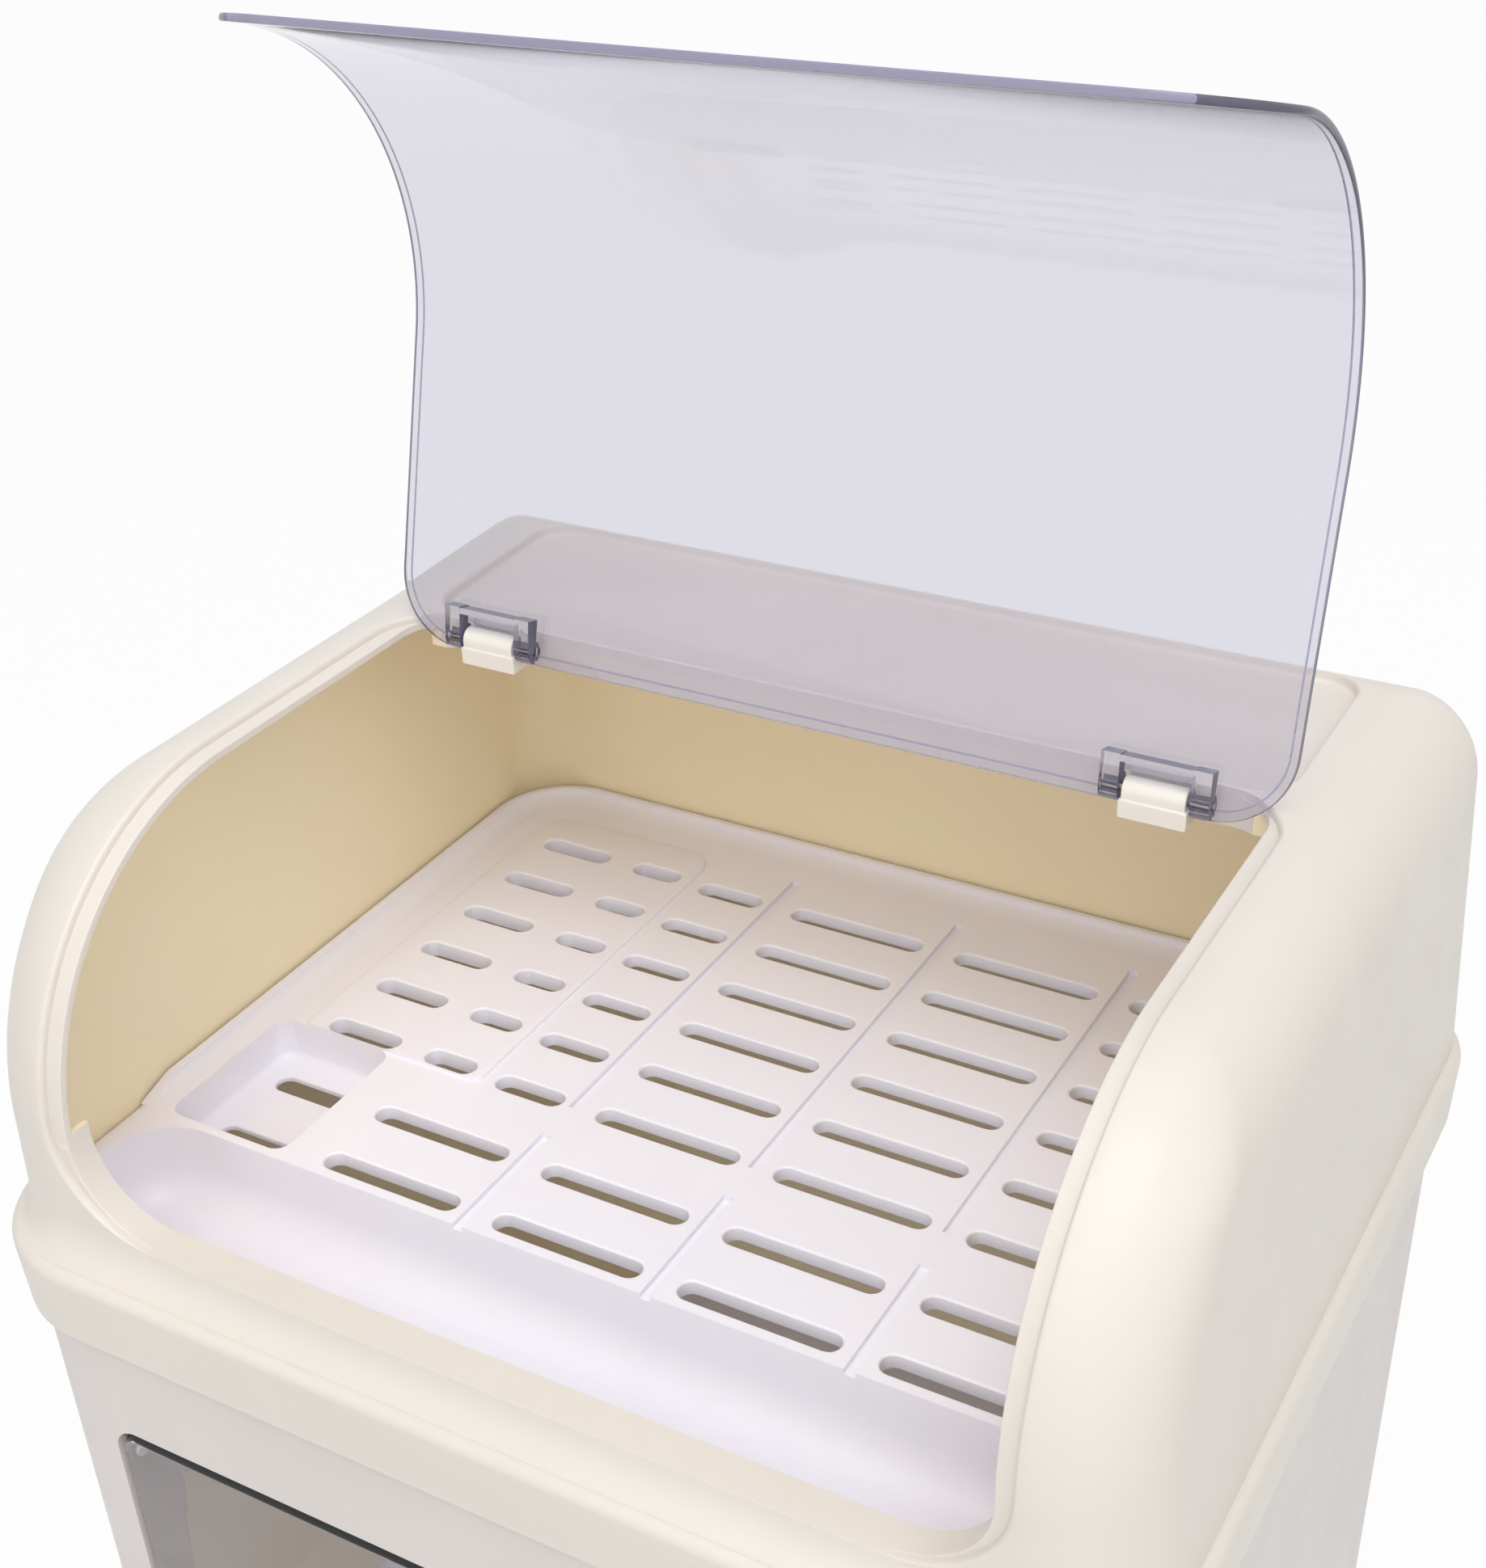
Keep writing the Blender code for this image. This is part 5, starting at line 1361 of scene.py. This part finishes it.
    def build(self) -> None:
        """Build the tray."""
        white, tray = self.finishes.white, self.blank()
        field_top = self.panel + self.plateau_rise
        self.add_hollows(tray, field_top)
        above, under = field_top + OVERRUN, self.flange_bottom - OVERRUN
        pocket_floor = self.panel - self.pocket_depth
        pocket_under = pocket_floor - self.skin - OVERRUN
        inset = self.pocket_row_inset
        pocket_rows = (self.plateau_front - inset, self.pocket_front + inset)
        ends = [self.span(self.pocket)[0] + end for end in self.pocket_slot]
        pocket_places = [(*ends, y, self.slot_width) for y in pocket_rows]
        narrow_places = self.slot_places(self.narrow_columns, self.row_y, self.back_rows)
        wide_places = self.slot_places(self.wide_columns, self.row_y, self.back_rows)
        wide_places += self.slot_places(self.front_columns, self.front_row_y, self.front_rows)
        fields = (
            ("drain_slots", wide_places, self.panel, under),
            ("field_slots", narrow_places, field_top, under),
            ("pocket_slots", pocket_places, pocket_floor, pocket_under),
        )
        slots = [
            slot_cutter(name, places, mouth(self.slot_edge, top, low, above), white)
            for name, places, top, low in fields
        ]
        half = self.groove_width / 2
        middles = [share * self.side for share in self.grooves]
        grooves = rectangles([(x - half, x + half, *span) for x in middles for span in self.groove_spans])
        cuts = [
            prisms("coring", self.coring(), under, self.panel - self.skin, white),
            prisms("field_core", self.field_coring(), under, field_top - self.skin, white),
            *slots,
            prisms("grooves", grooves, self.panel - self.groove_depth, above, white),
        ]
        shape(tray, cut=cuts)
        place(tray, "upper_drain_tray")


# Lower housing and its door


@dataclass
class LowerHousing:
    """Open-topped box with the door's window, sill stop, pivot lugs and foot holes."""

    finishes: Finishes
    half_width: float = 0.211
    front: float = 0.177
    back: float = 0.171
    corner: float = 0.047
    draft: float = math.radians(1.25)
    skirt_bottom: float = 0.272
    top: float = 0.2946
    foot_height: float = 0.010
    floor: float = 0.0135
    bottom_edge: float = 0.008
    wall: float = 0.003
    window_half_width: float = 0.162
    window_top: float = 0.2295
    window_bottom: float = 0.030
    window_corner: float = 0.0105
    door_gap: float = 0.0009
    door_wall: float = 0.0025
    door_edge: float = 0.004
    pivot_depth: float = 0.0085
    pivot_drop: float = 0.0135
    cheek_depth: float = 0.026
    cheek_straight: float = 0.030
    foot_depth: float = 0.008
    top_depth: float = 0.012
    pull_half_width: float = 0.045
    pull_reach: float = 0.007
    pull_thickness: float = 0.0025
    pin_radius: float = 0.002
    pin_sink: float = 0.0065
    gap: float = 0.0003
    lug_width: float = 0.008
    lug_half_height: float = 0.006
    lug_back: float = 0.0055
    sill_drop: float = 0.0004
    sill_thickness: float = 0.003
    stop_rise: float = 0.005
    stop_thickness: float = 0.0025
    foot_inset: float = 0.034
    stem_radius: float = 0.003

    def inset(self, z: Number) -> Number:
        """How far the walls have drawn in at a height, below the skirt's lower edge."""
        return (self.skirt_bottom - z) * math.tan(self.draft)

    def face_y(self, z: float) -> float:
        """Y of the outer front face at a height."""
        return self.inset(z) - self.front

    @property
    def door_bottom(self) -> float:
        """Height of the door's lower edge."""
        return self.window_bottom + self.door_gap

    @property
    def pivot(self) -> tuple[float, float]:
        """Y and Z of the door's hinge axis."""
        z = self.window_top - self.door_gap - self.pivot_drop
        return self.face_y(z) + self.pivot_depth, z

    def body(self, name: str, radius: float, levels: Pair, inset: float, material: Material) -> Piece:
        """The box or its hollow: a floor that turns up into drafted walls on a quarter circle.

        Args:
            name: Name of the object.
            radius: Radius of the turn.
            levels: Heights of the floor and the top.
            inset: Distance inside the outer walls.
            material: Its material.

        Returns:
            The solid.
        """
        turned, z = footed(levels[0], radius, levels[1])
        draw = self.inset(z) + inset + turned
        rings = rounded_rings(self.half_width, self.front, self.back, self.corner, z, draw)
        return loft(name, rings, material)

    def build_box(self) -> None:
        """Build the box."""
        # The hollow, lugs and sill carry the inside material, so the box's inner faces get painted warm
        # light.
        cream, warm_painted_light = self.finishes.lower, self.finishes.warm_painted_light
        levels = (self.foot_height, self.top)
        housing = self.body("lower_housing_shell", self.bottom_edge, levels, 0.0, cream)
        levels = (self.floor, self.top + OVERRUN)
        hollow = self.body("box_hollow", self.bottom_edge - self.wall, levels, self.wall, warm_painted_light)
        pivot_y, pivot_z = self.pivot
        wall_y = self.face_y(pivot_z) + self.wall / 2
        high_z = pivot_z + self.lug_half_height
        keeps, bores = [], []
        ring = circle(self.pin_radius + self.gap, self.pivot)
        for side in SIDES:
            low_x, high_x = sorted(side * (self.window_half_width + more) for more in (0.0, self.lug_width))
            low = (low_x, wall_y, pivot_z - self.lug_half_height)
            keeps.append(box(f"lug_{side}", low, (high_x, pivot_y + self.lug_back, high_z), warm_painted_light))
            sink = self.pin_sink + self.gap
            ends = sorted(side * (self.window_half_width + more) for more in (-OVERRUN, sink))
            bores.append(side_prism(f"lug_bore_{side}", ring, *ends, warm_painted_light))
        sill_top = self.window_bottom - self.sill_drop
        shift = self.foot_depth * (1 / math.cos(self.draft) - 1)
        stop_front = self.face_y(self.door_bottom) + self.foot_depth + self.gap + shift
        stop_back = stop_front + self.stop_thickness
        half = self.window_half_width - self.window_corner
        low_z = sill_top - self.sill_thickness
        stop_high = (half, stop_back, sill_top + self.stop_rise)
        sill_low = (-half, self.face_y(sill_top) + self.wall / 2, low_z)
        keeps.append(box("sill", sill_low, (half, stop_back, sill_top), warm_painted_light))
        keeps.append(box("sill_stop", (-half, stop_front, low_z), stop_high, warm_painted_light))
        shape(hollow, cut=keeps)
        depths = np.array([-self.face_y(self.foot_height) - self.wall - OVERRUN, self.front + OVERRUN])
        heights = (self.window_bottom, self.window_top)
        window = front_loft("window", self.window_half_width, heights, self.window_corner, depths, cream)
        keep_low = (-half, self.face_y(self.window_bottom) + self.wall, self.foot_height)
        shape(window, cut=[box("window_keep", keep_low, stop_high, cream)])
        foot = self.inset(self.foot_height) + self.foot_inset
        rows = (foot - self.front, self.back - foot)
        centres = [(side * (self.half_width - foot), y) for y in rows for side in SIDES]
        holes = np.stack([circle(self.stem_radius + self.gap, centre) for centre in centres])
        levels = (self.foot_height - OVERRUN, self.floor + OVERRUN)
        shape(housing, cut=[hollow, window, *bores, prisms("foot_holes", holes, *levels, cream)])
        place(housing, "lower_housing")

    def build_door(self) -> None:
        """Build the clear door about its pivot, and stand it in the window."""
        clear = self.finishes.clear
        half = self.window_half_width - self.door_gap
        top = self.pivot_drop
        bottom = top - (self.window_top - self.door_gap - self.door_bottom)
        face, thin = self.pivot_depth, self.door_wall
        back = face - self.cheek_depth
        corner = self.window_corner - self.door_gap
        heights = (bottom, top)
        inset, depths = topped(back, face, self.door_edge)
        door = front_loft("door_panel", half, heights, corner, depths, clear, inset)
        depths = np.array([back - OVERRUN, face - thin])
        hollow = front_loft("door_hollow", half, heights, corner, depths, clear, thin)
        slant = top - self.cheek_straight
        foot_y = self.foot_depth - face
        beyond = OVERRUN - back
        rise = (slant - bottom) / (-back - foot_y) * OVERRUN
        wedge = [(foot_y, bottom - OVERRUN), (beyond, bottom - OVERRUN)]
        wedge += [(beyond, slant + rise), (foot_y, bottom)]
        wide = half + OVERRUN
        taper = side_prism("door_taper", np.array(wedge), -wide, wide, clear)
        trim_low = (corner - half, self.top_depth - face, top - corner)
        trim = box("door_trim", trim_low, (half - corner, beyond, top + OVERRUN), clear)
        pull_z = bottom + corner
        pull_low = (-self.pull_half_width, -face - self.pull_reach, pull_z)
        pull_high = (self.pull_half_width, thin / 2 - face, pull_z + self.pull_thickness)
        pull = box("door_pull", pull_low, pull_high, clear)
        bore = side_prism("door_bore", circle(self.pin_radius + self.gap), -wide, wide, clear)
        shape(door, cut=[hollow, taper, trim])
        shape(door, [pull], [bore])
        transform(door, Matrix.Translation((0.0, *self.pivot)) @ Matrix.Rotation(self.draft, 4, "X"))
        place(door, "lower_door", Body.DOOR, CLEAR_SHARP)


@dataclass
class LowerTrays:
    """Drip tray with a flat rim, and the slotted rack that lies on it."""

    finishes: Finishes
    half_width: float = 0.155
    front: float = 0.146
    back: float = 0.150
    corner: float = 0.018
    floor: float = 0.0138
    top: float = 0.0338
    wall: float = 0.002
    taper: float = 0.004
    floor_fillet: float = 0.003
    rim: float = 0.003
    rim_thickness: float = 0.002
    edge: float = 0.0007
    rack_bottom: float = 0.0341
    rack_thickness: float = 0.0025
    skirt_depth: float = 0.005
    skirt_inset: float = 0.004
    skirt_thickness: float = 0.002
    slot_width: float = 0.008
    slot_pitch: float = 0.029896
    rows: int = 9
    columns: tuple = ((-0.86, -0.36), (-0.25, 0.25), (0.36, 0.86))

    def rings(self, inset: Number, z: Number) -> Array:
        """Rings of the drip tray's outline, drawn in."""
        return rounded_rings(self.half_width, self.front, self.back, self.corner, z, inset)

    def plate(self, low: float, top: float) -> Array:
        """Rings of a plate as wide as the rim, with a rounded upper edge."""
        inset, z = topped(low, top, self.edge)
        return self.rings(inset - self.rim, z)

    def pan(self, inset: float, floor: float, top: float) -> Array:
        """Rings of a pan whose floor turns up on a quarter circle into walls that lean out evenly.

        Args:
            inset: Distance inside the tray's outer wall.
            floor: Height of its floor.
            top: Height where it ends.

        Returns:
            The rings, from the floor up.
        """
        turned, z = footed(floor, self.floor_fillet, top)
        under = self.top - self.rim_thickness
        slope = np.minimum((z - self.floor) / (under - self.floor) - 1, 0.0)
        return self.rings(inset - self.taper * slope + turned, z)

    def build_drip_tray(self) -> None:
        """Build the drip tray."""
        cream, under = self.finishes.lower, self.top - self.rim_thickness
        outside = np.concatenate([self.pan(0.0, self.floor, under), self.plate(under, self.top)])
        tray = loft("drip_tray_moulding", outside, cream)
        inside = self.pan(self.wall, self.floor + self.wall, self.top + OVERRUN)
        shape(tray, cut=[loft("drip_hollow", inside, cream)])
        place(tray, "drip_tray")

    def build_rack(self) -> None:
        """Build the rack."""
        white, low = self.finishes.white, self.rack_bottom
        top = low + self.rack_thickness
        rack = loft("lower_rack_moulding", self.plate(low, top), white)
        middle = (self.back - self.front) / 2
        rows = [middle + (row - (self.rows - 1) / 2) * self.slot_pitch for row in range(self.rows)]
        ends = [(start * self.half_width, end * self.half_width) for start, end in self.columns]
        lines_x = [(left[1] + right[0]) / 2 for left, right in zip(ends, ends[1:])]
        divide(rack, lines_x, [y + self.slot_pitch / 2 for y in rows[:-1]])
        skirt_low, inset = low - self.skirt_depth, self.skirt_inset
        outer = self.rings(inset, np.array([skirt_low, low + self.rack_thickness / 4]))
        inner = self.rings(inset + self.skirt_thickness, np.array([skirt_low - OVERRUN, low]))
        skirt = shape(loft("rack_skirt", outer, white), cut=[loft("rack_core", inner, white)])
        places = [(*end, y, self.slot_width) for y in rows for end in ends]
        levels = mouth(self.edge, top, low - OVERRUN, top + OVERRUN)
        shape(rack, [skirt], [slot_cutter("rack_slots", places, levels, white)])
        place(rack, "lower_drain_rack")


@dataclass
class Fittings:
    """The pins and the feet: CAD forms with softened edges."""

    finishes: Finishes
    pin_edge: float = 0.0001
    foot_edge: float = 0.0002
    sharp: float = 40.0
    flat: float = math.radians(0.5)

    def copy(self, node: str, slot: Slot, material: Material, round_edge: float) -> None:
        """Copy a CAD node's mesh, merged, as a piece with softened edges.

        Args:
            node: The CAD node.
            slot: Not used.
            material: The material.
            round_edge: Radius on its edges.
        """
        mesh = bpy.data.objects[node].data.copy()
        item = linked(bpy.data.objects.new(f"{node}_moulding", mesh))
        mesh.materials.clear()
        mesh.materials.append(material)
        mesh.polygons.foreach_set("material_index", np.zeros(len(mesh.polygons), dtype=np.int32))
        with opened(mesh) as work:
            bmesh.ops.remove_doubles(work, verts=work.verts, dist=MERGE_REACH)
            bmesh.ops.dissolve_limit(work, angle_limit=self.flat, verts=work.verts, edges=work.edges)
        place(item, node, sharp=self.sharp, round_edge=round_edge)

    def build(self) -> None:
        """Copy and finish each fitting."""
        finishes = self.finishes
        kinds = (
            ("hinge_pin", Slot.STEEL, finishes.steel, self.pin_edge),
            ("door_pin", Slot.IVORY, finishes.ivory, self.pin_edge),
            ("foot_front", Slot.RUBBER, finishes.rubber, self.foot_edge),
            ("foot_back", Slot.RUBBER, finishes.rubber, self.foot_edge),
        )
        for stem, slot, material, edge in kinds:
            for side in ("left", "right"):
                self.copy(f"{stem}_{side}", slot, material, edge)


# Studio


@dataclass
class Studio:
    """Camera, floor, lamps and world."""

    camera_place: Triple = (0.3334, -0.5599, 0.8086)
    angles: Triple = (30.723, 29.658, -2.474)
    focal_pixels: float = 2805.4
    sensor: float = 36.0
    clip: Pair = (0.01, 100.0)
    floor_half: float = 12.0
    floor_colour: Colour = (0.86, 0.86, 0.86)
    floor_roughness: float = 0.9
    floor_sheen: float = 0.1
    floor_lift: float = 0.95
    world_light: float = 0.46
    lamp_aim: Triple = (0.0, 0.0, 0.3)

    def camera(self) -> None:
        """Stand the camera at the photograph's place, turn and focal length."""
        azimuth, elevation, roll = (math.radians(angle) for angle in self.angles)
        right = np.array([math.cos(azimuth), math.sin(azimuth), 0.0])
        back = np.array([math.sin(azimuth), -math.cos(azimuth), math.tan(elevation)]) * math.cos(elevation)
        up = np.cross(back, right)
        turned = math.cos(roll) * right + math.sin(roll) * up
        risen = math.cos(roll) * up - math.sin(roll) * right
        data = bpy.data.cameras.new("photo_camera")
        data.sensor_fit = "VERTICAL"
        data.sensor_height = self.sensor
        data.sensor_width = self.sensor * PHOTO_SIZE[0] / PHOTO_SIZE[1]
        data.lens = self.focal_pixels / PHOTO_SIZE[1] * self.sensor
        data.clip_start, data.clip_end = self.clip
        item = linked(bpy.data.objects.new("photo_camera", data))
        axes = np.eye(4)
        axes[:3, :3] = np.column_stack([turned, risen, back])
        axes[:3, 3] = self.camera_place
        item.matrix_world = Matrix(axes.tolist())
        bpy.context.scene.camera = item

    def floor(self) -> None:
        """Lay a plain pale floor under the feet, with a little light of its own for the eye alone."""
        sheet = NodeSheet(bpy.data.materials.new("studio_floor"))
        plain = sheet.add("Emission", Strength=1.0)
        sheet.overlay(sheet.seen(0.0, self.floor_lift), plain.outputs["Emission"])
        sheet.set(Base_Color=(*self.floor_colour, 1.0))
        sheet.set(Roughness=self.floor_roughness, Specular_IOR_Level=self.floor_sheen)
        half = self.floor_half
        points = np.array([(-half, -half, 0.0), (half, -half, 0.0), (half, half, 0.0), (-half, half, 0.0)])
        item = solid("studio_floor", points, [(0, 1, 2, 3)], sheet.owner)

    def lamp(self, name: str, place_at: Triple, size: float, power: float, shine: bool = True) -> None:
        """Hang a square soft lamp that faces the middle of the object.

        Args:
            name: Its name.
            place_at: Its place.
            size: Its side.
            power: Its watts.
            shine: Whether it has a mirror image in glossy surfaces.
        """
        data = bpy.data.lights.new(name, "AREA")
        data.shape = "SQUARE"
        data.size = size
        data.energy = power
        item = linked(bpy.data.objects.new(name, data))
        item.location = place_at
        item.visible_glossy = shine
        aim = Matrix.Translation(self.lamp_aim).to_translation() - item.location
        item.rotation_euler = aim.to_track_quat("-Z", "Y").to_euler()

    def world(self) -> None:
        """Light evenly from all round, and show plain white to the camera, glass and metal."""
        world = bpy.data.worlds.new("studio_world")
        bpy.context.scene.world = world
        sheet = NodeSheet(world, "Background")
        sheet.set(Color=(1.0, 1.0, 1.0, 1.0))
        sheet.link(sheet.seen(self.world_light, 1.0), "Strength")

    def build(self) -> None:
        """Set up the studio."""
        self.camera()
        self.floor()
        self.world()
        self.lamp("key_lamp", (0.5, -1.0, 2.3), 1.5, 18.0)
        self.lamp("front_lamp", (0.3, -2.2, 1.5), 1.6, 12.5, shine=False)
        self.lamp("side_lamp", (2.0, -0.7, 1.7), 1.6, 9.5, shine=False)
        self.lamp("top_lamp", (0.0, 0.0, 2.6), 1.8, 9.0)
        bpy.context.scene.view_settings.view_transform = "Standard"


def main() -> None:
    """Build the studio and every piece."""
    logging.basicConfig(level=logging.INFO, format="%(message)s")
    finishes = Finishes()
    Studio().build()
    housing = UpperHousing(finishes)
    housing.build()
    lid = Lid(finishes, housing)
    lid.build()
    for name, side in (("hinge_knuckle_left", -1), ("hinge_knuckle_right", 1)):
        HingeKnuckle(finishes, lid).build(name, side)
    DrainTray(finishes, housing).build()
    lower = LowerHousing(finishes)
    lower.build_box()
    lower.build_door()
    trays = LowerTrays(finishes)
    trays.build_drip_tray()
    trays.build_rack()
    Fittings(finishes).build()


if __name__ == "__main__":
    main()
